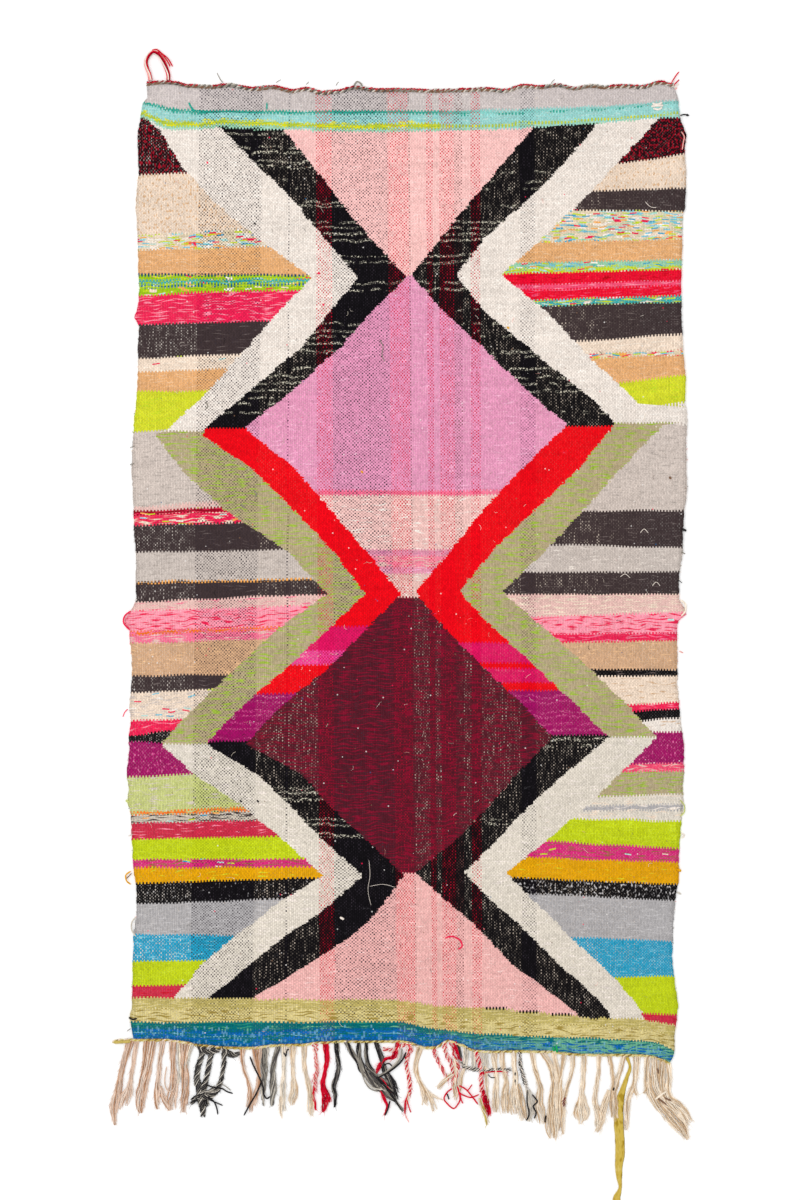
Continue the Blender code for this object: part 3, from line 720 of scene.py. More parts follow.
def paintWeave():
    paint = Paint("wovenRag")
    x, y, _ = paint.place()
    x = x / chart["square"] + chart["middleX"]
    y = chart["middleY"] - y / chart["square"]
    warp, pick, border = paint.attribute("weave")
    leftOuter, leftMiddle, leftInner = paint.attribute("leftEdges")
    rightOuter, rightMiddle, rightInner = paint.attribute("rightEdges")

    # Hand-beaten rows sway a little, and warps stand unevenly
    sway = paint.smooth(x / 34, y / 9, 3.0) - 0.5
    lean = paint.smooth(x / 12, y / 60, 8.0) - 0.5
    pick = pick + sway * 2.6
    border = border + sway * 2.2
    warp = warp + lean * 1.6

    # Plain weave: each pick shows as a grain between two warps, two picks high,
    # and the grains of neighbouring warps are a pick apart, like bricks
    column = (warp / weave["warp"]).floor()
    odd = (column / 2).fraction()
    brick = pick / (2 * weave["pick"]) + odd
    level = brick.floor()
    phase = brick - level
    grainRow = (level + 0.5 - odd) * (2 * weave["pick"])
    yarnRow = level * 2 - odd * 2
    acrossWarp = warp / weave["warp"] - column
    rounding = (acrossWarp * pi).math("SINE")
    gap = ((phase * tau).math("COSINE") * 0.5 + 0.5)
    step = grainRow - pick
    jitter = (paint.chance(level, 3.0) - 0.5) * 2.6 + (paint.chance(yarnRow, 8.0) - 0.5) * 1.6
    stepX = x + (column + 0.5) * weave["warp"] - warp + jitter

    # Flecks are short lengths of another colour in a pick, or small lumps in pebbly yarn
    wavy = pick + (paint.smooth(x / 13, y / 30, 5.5) - 0.5) * 5.0
    streaks = paint.smooth(warp / 12, wavy / 1.4, 1.0)
    pebbles = paint.smooth(warp / 2.1, pick / 3.0, 2.0, 0.6)
    fineRow = (wavy / 1.35).floor()
    dash = (warp / 7 + paint.chance(fineRow, 11.0) * 9).floor()
    lot = paint.chance(dash, fineRow)
    rags = [(0.0, "ecru"), (0.18, "limeBright"), (0.34, "skyBluePale"), (0.46, "creamPale"),
            (0.58, "turquoisePale"), (0.70, "orangePale"), (0.80, "pinkRed"), (0.92, "skyBlue")]
    ragStops = [(place, (*linear(yarn), 1.0)) for place, yarn in rags]
    ragColour = paint.node("ShaderNodeValToRGB", {"stops": ragStops},
                           {0: paint.chance(dash + 5.5, fineRow)})

    # Thin pale lines that run along the black bands, a few rows apart and broken into dots
    lineRow = (wavy / weave["lineRows"]).floor()
    lineLot = paint.chance(lineRow, 21.0)
    lineReach = paint.smooth(x / 10, lineRow * 1.7, 1.0, 1.0)
    lineAt = (wavy / weave["lineRows"]).fraction() - 0.18 - paint.chance(lineRow, 4.0) * 0.64
    lineAt = lineAt + (lineReach - 0.5) * 0.7
    lineShape = 1 - lineAt.math("ABSOLUTE") * (weave["lineRows"] / weave["lineThick"])
    lineDots = ((paint.smooth(warp / 1.7, pick / 1.2, 7.0, 1.0) - 0.51) * 11).held()

    def dyed(stripes, row, streaky=False):
        yarn, share, fleckYarn, mixed = stripeRamps(paint, row, stripes)
        if streaky:
            present = (lineLot < share * 1.35) * ((lineReach - 0.64 + share * 0.45) * 12).held()
            line = (lineShape * 1.7).held() * present * lineDots * (0.65 + lineLot * 0.35)
            return paint.mix(line, yarn, fleckYarn)
        pebbly = share > 0.5
        lumps = ((pebbles - 0.98 + share * 0.5) * 7).held()
        threads = ((streaks - (0.74 - share * 0.5)) * 8).held()
        flecked = threads + (lumps - threads) * pebbly
        colour = paint.mix(flecked, yarn, fleckYarn)
        return paint.mix(lot < mixed, colour, ragColour)

    colour = dyed(leftStripes, grainRow)
    for edge, stripes, streaky in ((leftOuter, leftOuterBand, False),
                                   (leftMiddle, leftInnerBand, True),
                                   (leftInner, middleField, False),
                                   (rightInner, rightInnerBand, True),
                                   (rightMiddle, rightOuterBand, False),
                                   (rightOuter, rightStripes, False)):
        colour = paint.mix(stepX > edge, colour, dyed(stripes, grainRow, streaky))
    borderStep = border + step
    ends = dyed(borders, borderStep)
    inBorder = (borderStep < endRows["pattern"]) + (borderStep > endRows["straw"])
    colour = paint.mix(inBorder, colour, ends)
    # The top's yellow line is lumpy on the left and dotted on the right, where the teal fades
    lumps = (paint.smooth(x / 8, border / 4, 12.0, 1.0) - 0.55) * 9
    yellow = lumps.held() * (borderStep > 120.5) * (borderStep < 127.4) * (x < 445) * 0.85
    colour = paint.mix(yellow, colour, paint.colour("brightYellow"))
    dotted = (x > 440) * (odd > 0.2) * (borderStep > 121) * (borderStep < 131) * 0.8
    colour = paint.mix(dotted, colour, paint.colour("turquoise"))
    fading = ((x - 430) / 60).held() * (borderStep > 109) * (borderStep < 113.4) * 0.75
    colour = paint.mix(fading, colour, paint.colour("turquoise"))
    greener = ((x - 430) / 140).held() * (borderStep > endRows["greener"]) * (streaks > 0.47) * 0.8
    colour = paint.mix(greener, colour, paint.colour("seaGreen"))
    # Pale stitches in the blue, and black dots along part of the straw
    stitched = (borderStep > endRows["stitched"]) * (paint.chance(column, level + 0.1) > 0.88) * 0.55
    colour = paint.mix(stitched, colour, paint.colour("bluePale"))
    blackEdge = (borderStep > 999) * (borderStep < 1001) * (odd > 0.2) * (x > 484) * (x < 598)
    colour = paint.mix(blackEdge, colour, paint.colour("black"))

    # Warp dots between the grains, each one there or hidden by chance
    warpColour = warpShow = None
    for first in (100, 340, 580):
        stops = []
        for i, (start, yarn, show) in enumerate(warpStripes):
            following = warpStripes[i + 1][0] if i + 1 < len(warpStripes) else 999
            if following > first and start < first + 240:
                stops.append((max(0.0, (start - first) / 240), (*linear(yarn), show)))
        ramp = paint.node("ShaderNodeValToRGB", {"stops": stops}, {0: (warp - first) / 240})
        show = Wire(paint, ramp.socket.node.outputs[1])
        if warpColour is None:
            warpColour, warpShow = ramp, show
        else:
            warpColour = paint.mix(warp > first, warpColour, ramp)
            warpShow = warpShow + (show - warpShow) * (warp > first)
    junction = (brick + 0.5).floor()
    red, _, blue = paint.parts(colour)
    # Dark yarn is loosely packed in places, so that pale dots show along some warps
    dark = ((0.2 - red) * 12).held()
    loose = ((paint.smooth(warp / 1.7, pick / 14, 13.0, 1.5) - 0.48) * 7).held() * dark
    loose = loose * (1 - (x > 600) * 0.7)
    patchy = paint.smooth(warp / 5, pick / 16, 6.0, 1.5) * 1.1 + 0.45
    dotLot = paint.chance(column + 0.5, junction)
    shown = ((warpShow * patchy * 1.55 + loose * 0.7) * (1.4 - dotLot * 1.2)).held()
    packed = (blue * blue * 20 + 0.14 + loose * 0.55).held() * (1 - (borderStep > endRows["blue"]) * 0.85)
    dots = ((gap + rounding * 0.8 - 1.20) * 5.0).held() * shown * packed
    colour = paint.mix(dots, colour, warpColour)

    # Fibre shading along each pick, grains that differ a little, painted shade where the grains meet, and
    # lint shed by the rags
    fibre = paint.smooth(warp / 1.4, pick / 0.7, 4.0, 1.0) - 0.5
    grainLot = paint.chance(column, level + 0.7) - 0.5
    perPick = paint.chance(yarnRow, (warp / 40).floor()) - 0.5
    cloudy = paint.smooth(x / 45, y / 30, 9.0, 1.0) - 0.5
    shade = 1.085 + fibre * 0.60 + grainLot * 0.16 + perPick * 0.10 + cloudy * 0.14
    shade = shade + (pebbles - 0.5) * 0.34
    # Painted shade: each grain is darkened at its sides and at its ends, where it meets the neighbouring
    # grains
    shade = shade - (1 - rounding) * 0.20 - gap * 0.18
    colour = paint.node("ShaderNodeVectorMath", {"operation": "MULTIPLY"},
                        {0: colour, 1: paint.vector(shade, shade, shade)})
    spots = paint.node("ShaderNodeTexVoronoi", None,
                       {"Vector": paint.vector(x / 10, y / 10), "Scale": 1.0})
    speckLot = paint.chance((x / 14).floor(), (y / 14).floor())
    for low, high, yarn, strength in ((0.55, 1.01, "white", 0.6), (0.0, 0.22, "woolBrown", 0.6),
                                      (0.22, 0.30, "pinkRed", 0.7), (0.30, 0.34, "blue", 0.6)):
        speck = (spots < 0.075) * (speckLot > low) * (speckLot < high) * strength
        colour = paint.mix(speck, colour, paint.colour(yarn))
    paint.dye(colour)
    height = (phase * pi).math("SINE") * rounding + fibre * 0.6
    paint.relief(height, 0.0012, 0.6)
    return paint.cloth()


wovenRag = paintWeave()
print("weave painted")


def finishPiece(name, bm, materials):
    mesh = bpy.data.meshes.new(name)
    bm.to_mesh(mesh)
    bm.free()
    for material in materials:
        mesh.materials.append(material)
    mesh.polygons.foreach_set("use_smooth", [True] * len(mesh.polygons))
    piece = bpy.data.objects.new(name, mesh)
    bpy.context.scene.collection.objects.link(piece)
    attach(piece, "root")
    return piece


# The cloth, one sheet of even thickness with a slight lift here and there
bm = bmesh.new()
bmesh.ops.create_grid(bm, x_segments=weave["columns"], y_segments=weave["rows"], size=0.5)
selvedge = Random(29)
for vert in bm.verts:
    across, down = vert.co.x + 0.5, 0.5 - vert.co.y
    vert.co = clothPoint(across, down)
    if min(across, 1 - across) < 0.001 and 0.01 < down < 0.99:
        # The weft turns back unevenly at the selvedges
        vert.co.x += selvedge.uniform(-0.5, 0.5) * chart["square"]
bmesh.ops.recalc_face_normals(bm, faces=bm.faces)
for vert in bm.verts:
    vert.co.z = weave["thickness"] + 0.0002 + ripple(vert.co.x, vert.co.y)
upward = sum(face.normal.z for face in bm.faces) > 0
bmesh.ops.solidify(bm, geom=bm.faces[:], thickness=weave["thickness"] * (1 if upward else -1))
bmesh.ops.recalc_face_normals(bm, faces=bm.faces)
cloth = finishPiece("woven_cloth", bm, [wovenRag])
chartWeave(cloth.data)
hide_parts("rug_cloth")
print("cloth made")


# Twined rows that lock both ends: thin plies that wind round each other along an edge
twining = {"pitch": 6.5, "topPly": 0.85, "lowOffset": 1.6, "lowPly": 0.66,
           "height": 0.0034, "steps": 8}


def layTwine(curve, line, offset, plies, pitch, thick, swing, seed):
    # Plies wound along a line of the chart from left to right, offset squares below it.
    # A ply is spun of lengths, and each takes one of the ply's yarns.
    random = Random(seed)
    start, end = line[0][0], line[-1][0]
    stepCount = round((end - start) / pitch * twining["steps"])
    for i, names in enumerate(plies):
        places, radii = [], []
        length = random.randrange(10, 30)
        for j in range(stepCount + 1):
            x = start + (end - start) * j / stepCount
            angle = tau * (j / twining["steps"] + i / len(plies)) + 1.5 * noise.noise(
                Vector((x * 0.05, seed, i)))
            uneven = noise.noise(Vector((x * 0.12, i * 5.1, offset))) * 0.9
            y = readLine(line, x) + offset + cos(angle) * swing + uneven
            places.append(onRug(x, y, twining["height"] + sin(angle) * 0.0011))
            bulge = 1 + 0.5 * noise.noise(Vector((x * 0.35, i * 9.3, offset)))
            radii.append(thick * bulge * chart["square"])
            length -= 1
            if len(places) > 1 and (length <= 0 or j == stepCount):
                layYarn(curve, places, radii, random.choice(names))
                places, radii = places[-1:], radii[-1:]
                length = random.randrange(10, 30)


def chartLine(edge):
    return [onChart(Vector((*point, 0.0))) for point in edge]


topRow = chartLine(topEdge)
lowRow = [*(onChart(Vector(point)) for point in ((-0.650, -1.034, 0), (-0.632, -1.031, 0))),
          *chartLine(lowEdge)]

topCurve = newYarns("top_twining_yarns")
layTwine(topCurve, topRow, -1.1, (("woolBrown", "woolGrey"), ("woolGrey", "woolAsh", "woolBrown"),
                                  ("woolBrown", "woolSlate")), twining["pitch"], twining["topPly"], 1.0, 3)
layTwine(topCurve, topRow, -2.9, (("woolRed", "woolRed", "woolAsh"), ("woolRedDeep", "woolGrey")),
         5.3, 0.62, 0.8, 4)
# Ends of the top row that stick up
for tuft in ((("woolGrey", 0.9), (223, 83), (220, 79), (217, 73)),
             (("woolGrey", 0.7), (276, 83), (279, 81), (281, 80)),
             (("woolGrey", 0.7), (306, 85), (308, 83), (309, 82)),
             (("woolGrey", 0.7), (336, 86), (337, 84), (339, 82)),
             (("woolGrey", 1.6), (354, 86), (357, 82), (361, 84), (362, 87)),
             (("woolGrey", 0.7), (551, 84), (553, 81), (555, 80)),
             (("woolRed", 1.2), (668, 90), (671, 84), (675, 77), (679, 72)),
             (("woolRed", 1.2), (669, 91), (673, 86), (677, 82), (679, 80)),
             (("woolWhite", 1.2), (671, 92), (675, 87), (679, 84)),
             (("woolPink", 1.1), (669, 93), (674, 90), (677, 88))):
    layThread(topCurve, *tuft[0], *tuft[1:], up=0.0040)
topTwining = finishYarns(topCurve)
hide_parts("top_twining")
print("top twining laid")

# Fringe, from left to right: wool, then x, y and width down each bundle
leftFringe = (
    ("rose", (131, 1045, 8), (126, 1056, 7), (123, 1065, 6), (121, 1075, 6), (119, 1085, 7),
     (117, 1095, 9), (114, 1107, 10), (114, 1116, 5), (115, 1125, 3)),
    ("rose", (137, 1045, 6), (134, 1060, 4), (132, 1072, 5), (130, 1084, 6), (129, 1094, 8),
     (127, 1106, 6)),
    ("rose", (128, 1088, 3), (123, 1098, 7), (119, 1109, 6)),
    ("rose", (148, 1044, 9), (146, 1060, 7), (144, 1072, 7), (142, 1084, 7), (140, 1095, 9),
     (140, 1106, 8), (141, 1113, 5)),
    ("rose", (154, 1044, 7), (151, 1060, 5), (149, 1072, 5), (146, 1084, 6), (144, 1096, 6),
     (142, 1108, 5)),
    ("rose", (163, 1044, 8), (160, 1058, 5), (159, 1070, 5), (158, 1080, 6), (157, 1090, 8),
     (157, 1100, 6), (158, 1109, 4)),
    ("rose", (160, 1086, 4), (163, 1096, 5), (167, 1104, 6), (170, 1110, 4)),
    ("rose", (173, 1045, 9), (173, 1058, 6), (174, 1070, 7), (174, 1082, 9), (173, 1092, 10),
     (171, 1102, 11), (172, 1110, 8)),
    ("rose", (184, 1045, 14), (184, 1058, 8), (184, 1068, 9), (185, 1080, 10), (185, 1092, 10),
     (184, 1102, 8), (184, 1112, 4)),
    ("ash", (179, 1046, 6), (179, 1060, 4), (180, 1072, 4), (178, 1084, 4)),
    ("ash", (192, 1047, 5), (188, 1058, 4), (186, 1070, 4)),
    ("black", (197, 1049, 4), (205, 1051, 5), (214, 1051, 5), (220, 1050, 3)),
    ("black", (203, 1047, 8), (201, 1058, 5), (198, 1068, 5), (197, 1078, 6), (199, 1088, 7),
     (201, 1100, 7), (203, 1110, 6), (203, 1117, 4)),
    ("black", (213, 1049, 7), (210, 1060, 5), (208, 1070, 5), (206, 1080, 5), (203, 1090, 6),
     (197, 1098, 4), (191, 1103, 3)),
    ("black", (224, 1051, 6), (224, 1062, 4), (223, 1070, 4), (221, 1080, 4), (217, 1090, 5),
     (210, 1096, 6), (203, 1097, 6), (195, 1100, 4), (191, 1104, 2)),
    ("grey", (204, 1093, 5), (210, 1091, 5), (216, 1087, 4)),
    ("tangle", (206, 1092, 6), (205, 1101, 7), (208, 1106, 5)),
    ("black", (222, 1052, 4), (228, 1053, 5), (234, 1055, 5), (240, 1053, 3)),
    ("rose", (243, 1048, 7), (242, 1058, 4), (244, 1068, 3), (247, 1078, 3), (250, 1088, 4),
     (250, 1098, 6), (247, 1107, 4)),
    ("rose", (257, 1048, 14), (257, 1058, 10), (258, 1066, 6), (259, 1075, 4), (258, 1085, 5),
     (255, 1096, 5), (252, 1104, 5), (251, 1112, 3)),
    ("rose", (258, 1088, 4), (256, 1098, 6), (254, 1105, 4)),
    ("grey", (266, 1047, 8), (264, 1058, 8), (264, 1070, 8), (264, 1080, 5), (263, 1092, 4),
     (264, 1106, 2)),
    ("grey", (279, 1046, 6), (275, 1058, 5), (273, 1070, 6), (273, 1082, 7), (273, 1093, 7),
     (272, 1102, 4), (272, 1106, 2)),
)
middleFringe = (
    ("ash", (285, 1045, 8), (284, 1058, 5), (284, 1072, 5), (283, 1085, 8), (283, 1098, 7),
     (284, 1111, 5)),
    ("sand", (282, 1096, 4), (281, 1107, 3), (282, 1118, 2)),
    ("sand", (293, 1046, 9), (293, 1060, 5), (293, 1073, 4), (294, 1084, 7), (294, 1092, 8),
     (292, 1099, 8), (292, 1105, 4)),
    ("sand", (304, 1046, 7), (304, 1060, 5), (305, 1070, 4), (308, 1082, 4), (310, 1092, 5),
     (311, 1102, 7), (311, 1109, 6), (312, 1116, 3)),
    ("redWhite", (315, 1046, 7), (316, 1058, 4), (317, 1070, 4), (315, 1080, 5), (315, 1092, 4)),
    ("red", (314, 1088, 3), (313, 1096, 3), (315, 1104, 2.5), (316, 1110, 1.5)),
    ("red", (325, 1045, 8), (327, 1056, 5), (326, 1066, 5), (324, 1076, 4), (323, 1086, 6),
     (325, 1096, 9), (325, 1104, 7), (323, 1112, 3)),
    ("red", (325, 1088, 4), (329, 1096, 4), (330, 1102, 2)),
    ("tangle", (336, 1043, 6), (337, 1055, 5), (339, 1066, 5), (337, 1076, 5), (334, 1086, 5),
     (335, 1096, 3), (335, 1107, 2)),
    ("tangle", (346, 1043, 5), (352, 1053, 5), (358, 1061, 5), (362, 1070, 6), (370, 1079, 7),
     (380, 1087, 8), (388, 1094, 7), (396, 1101, 4), (403, 1111, 2)),
    ("tangle", (359, 1042, 4), (359, 1054, 4), (362, 1064, 5), (369, 1074, 6), (379, 1083, 7),
     (389, 1092, 6)),
    ("tangle", (366, 1043, 4), (366, 1056, 4), (369, 1066, 5), (376, 1075, 6), (386, 1084, 7),
     (394, 1092, 8), (397, 1099, 4)),
    ("tangle", (376, 1043, 5), (380, 1054, 5), (383, 1064, 5), (386, 1074, 7), (392, 1083, 8),
     (396, 1093, 6)),
    ("grey", (362, 1066, 4), (367, 1076, 4), (377, 1086, 4), (388, 1091, 3)),
    ("red", (398, 1046, 5), (394, 1056, 5), (385, 1059, 4), (379, 1066, 4), (376, 1073, 3)),
    ("redWhite", (383, 1049, 3), (392, 1050, 4), (400, 1047, 4), (406, 1043, 3), (411, 1047, 3),
     (412, 1053, 3)),
    ("red", (381, 1090, 3), (384, 1099, 4), (387, 1106, 3), (384, 1115, 2)),
    ("red", (379, 1077, 2), (385, 1083, 2), (391, 1090, 2)),
    ("redWhite", (410, 1050, 6), (407, 1058, 4), (407, 1068, 4), (409, 1078, 4), (410, 1088, 4),
     (409, 1096, 3)),
    ("red", (410, 1090, 3), (406, 1100, 3), (405, 1108, 2), (405, 1114, 1.5)),
    ("sand", (409, 1092, 3), (407, 1104, 3)),
    ("sand", (420, 1048, 8), (417, 1060, 5), (416, 1070, 4), (418, 1078, 4), (422, 1086, 5),
     (425, 1093, 9), (428, 1100, 11), (430, 1105, 8)),
    ("sand", (426, 1093, 4), (431, 1101, 4), (433, 1111, 2)),
    ("sand", (429, 1092, 4), (436, 1097, 3), (443, 1100, 1.5)),
    ("redWhite", (433, 1048, 4), (436, 1056, 4), (440, 1064, 3.5), (444, 1072, 3.5), (449, 1080, 3)),
    ("redWhite", (444, 1044, 5), (446, 1054, 4), (451, 1062, 4), (453, 1072, 4), (453, 1083, 4)),
    ("sand", (455, 1058, 5), (456, 1072, 5), (455, 1082, 5), (456, 1092, 5), (455, 1100, 4)),
    ("redWhite", (450, 1046, 4), (455, 1058, 4), (458, 1068, 4), (455, 1078, 4), (452, 1088, 3)),
    ("red", (454, 1042, 5), (457, 1052, 4), (461, 1061, 3)),
    ("tangle", (457, 1045, 3), (460, 1053, 3), (461, 1060, 3)),
    ("sand", (453, 1074, 5), (446, 1079, 6), (441, 1084, 5), (438, 1089, 3)),
    ("sand", (464, 1068, 4), (461, 1076, 5), (460, 1084, 5), (458, 1094, 4)),
)
rightFringe = (
    ("ash", (466, 1049, 6), (466, 1060, 6), (465, 1069, 5)),
    ("ash", (474, 1052, 6), (474, 1060, 6), (474, 1068, 6)),
    ("ash", (484, 1052, 8), (485, 1060, 8), (485, 1068, 7)),
    ("sand", (486, 1066, 4), (487, 1084, 4), (488, 1101, 3)),
    ("sand", (494, 1052, 7), (495, 1066, 5), (497, 1080, 5), (496, 1092, 7), (496, 1103, 9),
     (496, 1112, 8)),
    ("sand", (502, 1053, 6), (503, 1068, 5), (506, 1080, 5), (505, 1092, 8), (505, 1103, 10),
     (506, 1113, 8)),
    ("sand", (513, 1053, 6), (514, 1066, 4), (515, 1080, 6), (514, 1092, 9), (513, 1103, 11),
     (515, 1114, 9)),
    ("sand", (517, 1084, 6), (520, 1096, 8), (521, 1108, 9), (524, 1120, 7)),
    ("ash", (527, 1090, 6), (530, 1102, 10), (530, 1112, 9), (528, 1121, 5)),
    ("blackWhite", (520, 1052, 4), (520, 1062, 3.5), (522, 1072, 3.5), (525, 1082, 3.5),
     (527, 1091, 3)),
    ("blackWhite", (461, 1062, 3), (466, 1067, 4), (473, 1069, 4), (482, 1070, 3.5), (492, 1070, 3),
     (502, 1069, 3), (511, 1070, 2)),
    ("redWhite", (476, 1051, 5), (478, 1060, 5), (481, 1068, 4), (481, 1078, 4), (482, 1088, 5),
     (484, 1098, 6)),
    ("red", (483, 1090, 5), (485, 1100, 7), (488, 1109, 5), (489, 1116, 3)),
    ("red", (481, 1076, 3), (484, 1072, 3), (492, 1071, 2), (500, 1071, 2), (508, 1073, 1.5)),
    ("straw", (480, 1098, 3), (483, 1108, 4), (486, 1117, 3), (487, 1125, 2)),
    ("sand", (532, 1052, 6), (534, 1065, 5), (537, 1077, 5), (540, 1089, 7), (538, 1102, 10),
     (540, 1114, 10), (541, 1124, 7)),
    ("sand", (542, 1052, 7), (549, 1063, 6), (553, 1074, 6), (554, 1086, 7), (552, 1100, 9),
     (552, 1116, 11), (551, 1130, 10), (552, 1138, 6)),
    ("sand", (553, 1052, 6), (556, 1066, 6), (558, 1080, 7), (557, 1094, 9), (556, 1108, 11),
     (556, 1122, 11), (556, 1133, 7), (555, 1140, 2)),
    ("sand", (564, 1055, 6), (562, 1068, 4), (560, 1082, 5), (561, 1096, 7), (562, 1110, 7),
     (562, 1124, 6), (563, 1134, 3)),
    ("sand", (572, 1056, 6), (572, 1068, 4), (569, 1080, 4), (566, 1090, 4), (564, 1100, 5),
     (564, 1112, 5)),
    ("plum", (565, 1097, 3), (563, 1102, 4), (564, 1107, 3)),
    ("sand", (584, 1056, 7), (584, 1068, 6), (583, 1080, 5), (582, 1092, 5), (581, 1101, 6),
     (581, 1110, 9), (581, 1117, 9), (581, 1124, 4)),
    ("sand", (583, 1094, 4), (580, 1101, 5), (577, 1108, 6), (576, 1114, 6), (579, 1120, 4)),
    ("sand", (582, 1094, 4), (584, 1101, 5), (586, 1108, 6), (587, 1114, 6), (584, 1120, 4)),
    ("sand", (599, 1057, 6), (598, 1070, 5), (597, 1082, 4), (595, 1093, 5), (595, 1104, 6),
     (598, 1113, 8), (599, 1122, 8), (598, 1131, 7)),
    ("sand", (609, 1090, 4), (606, 1100, 7), (603, 1110, 9), (602, 1120, 9), (597, 1132, 6)),
    ("sand", (609, 1057, 6), (612, 1070, 4), (613, 1082, 5), (612, 1094, 6), (611, 1106, 7),
     (612, 1117, 5)),
    ("sand", (624, 1058, 6), (620, 1070, 5), (617, 1082, 4), (614, 1093, 5), (615, 1105, 6),
     (616, 1121, 5)),
    ("sand", (637, 1059, 8), (636, 1072, 6), (634, 1084, 5), (630, 1094, 6), (627, 1106, 7),
     (627, 1118, 5), (626, 1130, 3)),
    ("sand", (634, 1080, 4), (635, 1089, 4), (637, 1095, 2)),
    ("sand", (648, 1059, 7), (647, 1073, 7), (648, 1086, 8), (652, 1097, 8), (660, 1108, 9),
     (670, 1119, 9), (680, 1130, 8), (687, 1140, 4)),
    ("sand", (655, 1059, 7), (655, 1073, 8), (656, 1086, 9), (661, 1098, 9), (669, 1108, 10),
     (678, 1119, 10), (685, 1130, 7), (688, 1138, 3)),
    ("sand", (662, 1061, 7), (662, 1075, 8), (663, 1088, 8), (667, 1098, 9), (674, 1106, 10),
     (682, 1115, 9), (688, 1126, 5)),
    ("sand", (668, 1065, 6), (669, 1078, 6), (668, 1090, 6), (671, 1099, 7), (678, 1104, 8),
     (685, 1112, 7), (691, 1122, 4)),
    ("sand", (648, 1082, 5), (646, 1089, 4), (643, 1093, 2)),
)
# Single threads among the fringe: wool, thickness, then x and y
fringeThreads = (
    ("woolRose", 1.4, (167, 1066), (165, 1078), (166, 1087), (170, 1091), (174, 1088), (176, 1080)),
    ("woolBlack", 1.5, (206, 1084), (214, 1087), (222, 1088), (227, 1091), (233, 1093)),
    ("woolBlack", 1.5, (208, 1096), (214, 1101), (217, 1108), (218, 1114)),
    ("woolBlack", 1.3, (209, 1099), (216, 1102), (223, 1105)),
    ("woolBlack", 1.3, (200, 1094), (195, 1096), (191, 1099)),
    ("woolGrey", 0.9, (221, 1083), (226, 1086), (231, 1090)),
    ("woolBlack", 1.6, (250, 1056), (254, 1066), (259, 1076), (263, 1086), (264, 1094), (267, 1098),
     (270, 1096)),
    ("woolBlack", 1.6, (262, 1080), (257, 1092), (250, 1104), (244, 1115)),
    ("woolBlack", 1.2, (284, 1052), (286, 1056), (287, 1050), (289, 1049)),
    ("woolGrey", 1.6, (402, 1048), (401, 1057), (396, 1064), (388, 1070), (378, 1076)),
    ("woolBlack", 1.8, (406, 1052), (402, 1060), (395, 1067), (386, 1073), (376, 1078)),
    ("woolAsh", 1.4, (399, 1048), (399, 1056), (396, 1062), (390, 1068), (384, 1073)),
    ("woolGrey", 1.3, (361, 1070), (365, 1081), (370, 1088), (378, 1091)),
    ("woolAsh", 1.2, (363, 1076), (368, 1084), (375, 1088), (383, 1089)),
    ("woolBlack", 1.4, (382, 1071), (384, 1065), (389, 1063), (393, 1067)),
    ("woolBlack", 1.6, (390, 1100), (388, 1108), (385, 1115)),
    ("woolRed", 1.3, (407, 1100), (409, 1107), (411, 1112)),
    ("woolPink", 1.0, (405, 1114), (407, 1118), (409, 1122)),
    ("woolSand", 1.3, (424, 1094), (423, 1100), (422, 1105)),
    ("woolSand", 1.3, (430, 1096), (434, 1102), (437, 1109)),
    ("woolRed", 1.5, (452, 1088), (447, 1092), (444, 1098), (447, 1103), (453, 1108), (457, 1105),
     (460, 1099), (459, 1092), (457, 1086)),
    ("woolBlack", 1.5, (447, 1093), (448, 1096), (449, 1099)),
    ("woolRed", 1.5, (459, 1085), (466, 1089), (472, 1096), (478, 1104)),
    ("woolRed", 1.4, (459, 1092), (464, 1095), (471, 1097), (479, 1094)),
    ("woolRed", 1.2, (467, 1091), (470, 1087), (472, 1084)),
    ("woolRed", 1.3, (460, 1093), (461, 1099), (463, 1103)),
    ("woolBlack", 1.0, (488, 1074), (491, 1077), (495, 1077)),
    ("woolBlack", 1.4, (527, 1090), (527, 1102), (529, 1112), (528, 1117), (526, 1120)),
    ("woolBlack", 1.5, (532, 1094), (537, 1101), (533, 1106), (536, 1112), (534, 1118)),
    ("woolBlack", 1.6, (546, 1115), (545, 1119), (545, 1122)),
    ("woolBlack", 1.3, (515, 1072), (515, 1075)),
    ("woolBlack", 1.3, (515, 1079), (515, 1082)),
    ("woolBlack", 1.6, (614, 1087), (613, 1090)),
    ("woolSandPale", 2.0, (655, 1099), (660, 1095), (666, 1091)),
    ("woolBrown", 1.6, (657, 1068), (658, 1073)),
    ("woolBrown", 1.8, (658, 1098), (662, 1101), (666, 1104)),
    ("woolBrown", 1.5, (664, 1097), (668, 1099), (671, 1100)),
)
for name, bundles in (("fringe_left", leftFringe), ("fringe_middle", middleFringe),
                      ("fringe_right", rightFringe)):
    fringeCurve = newYarns(name)
    for wool, *route in bundles:
        layBundle(fringeCurve, wool, *route)
    if name == "fringe_middle":
        for yarn, thick, *route in fringeThreads:
            layThread(fringeCurve, yarn, thick, *route, up=0.0058)
    fringePiece = finishYarns(fringeCurve)
    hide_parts("fringe")
    print(name, "laid", len(fringePiece.data.polygons))

# The row that locks the lower edge, gold with brown and pale bits
lowCurve = newYarns("low_twining_yarns")
layTwine(lowCurve, lowRow, twining["lowOffset"],
         (("gold", "goldPale"), ("goldPale", "gold", "woolSand"), ("gold", "goldShade", "goldPale")),
         twining["pitch"], twining["lowPly"], 0.75, 5)
lowTwining = finishYarns(lowCurve)
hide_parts("fringe")
print("low twining laid")

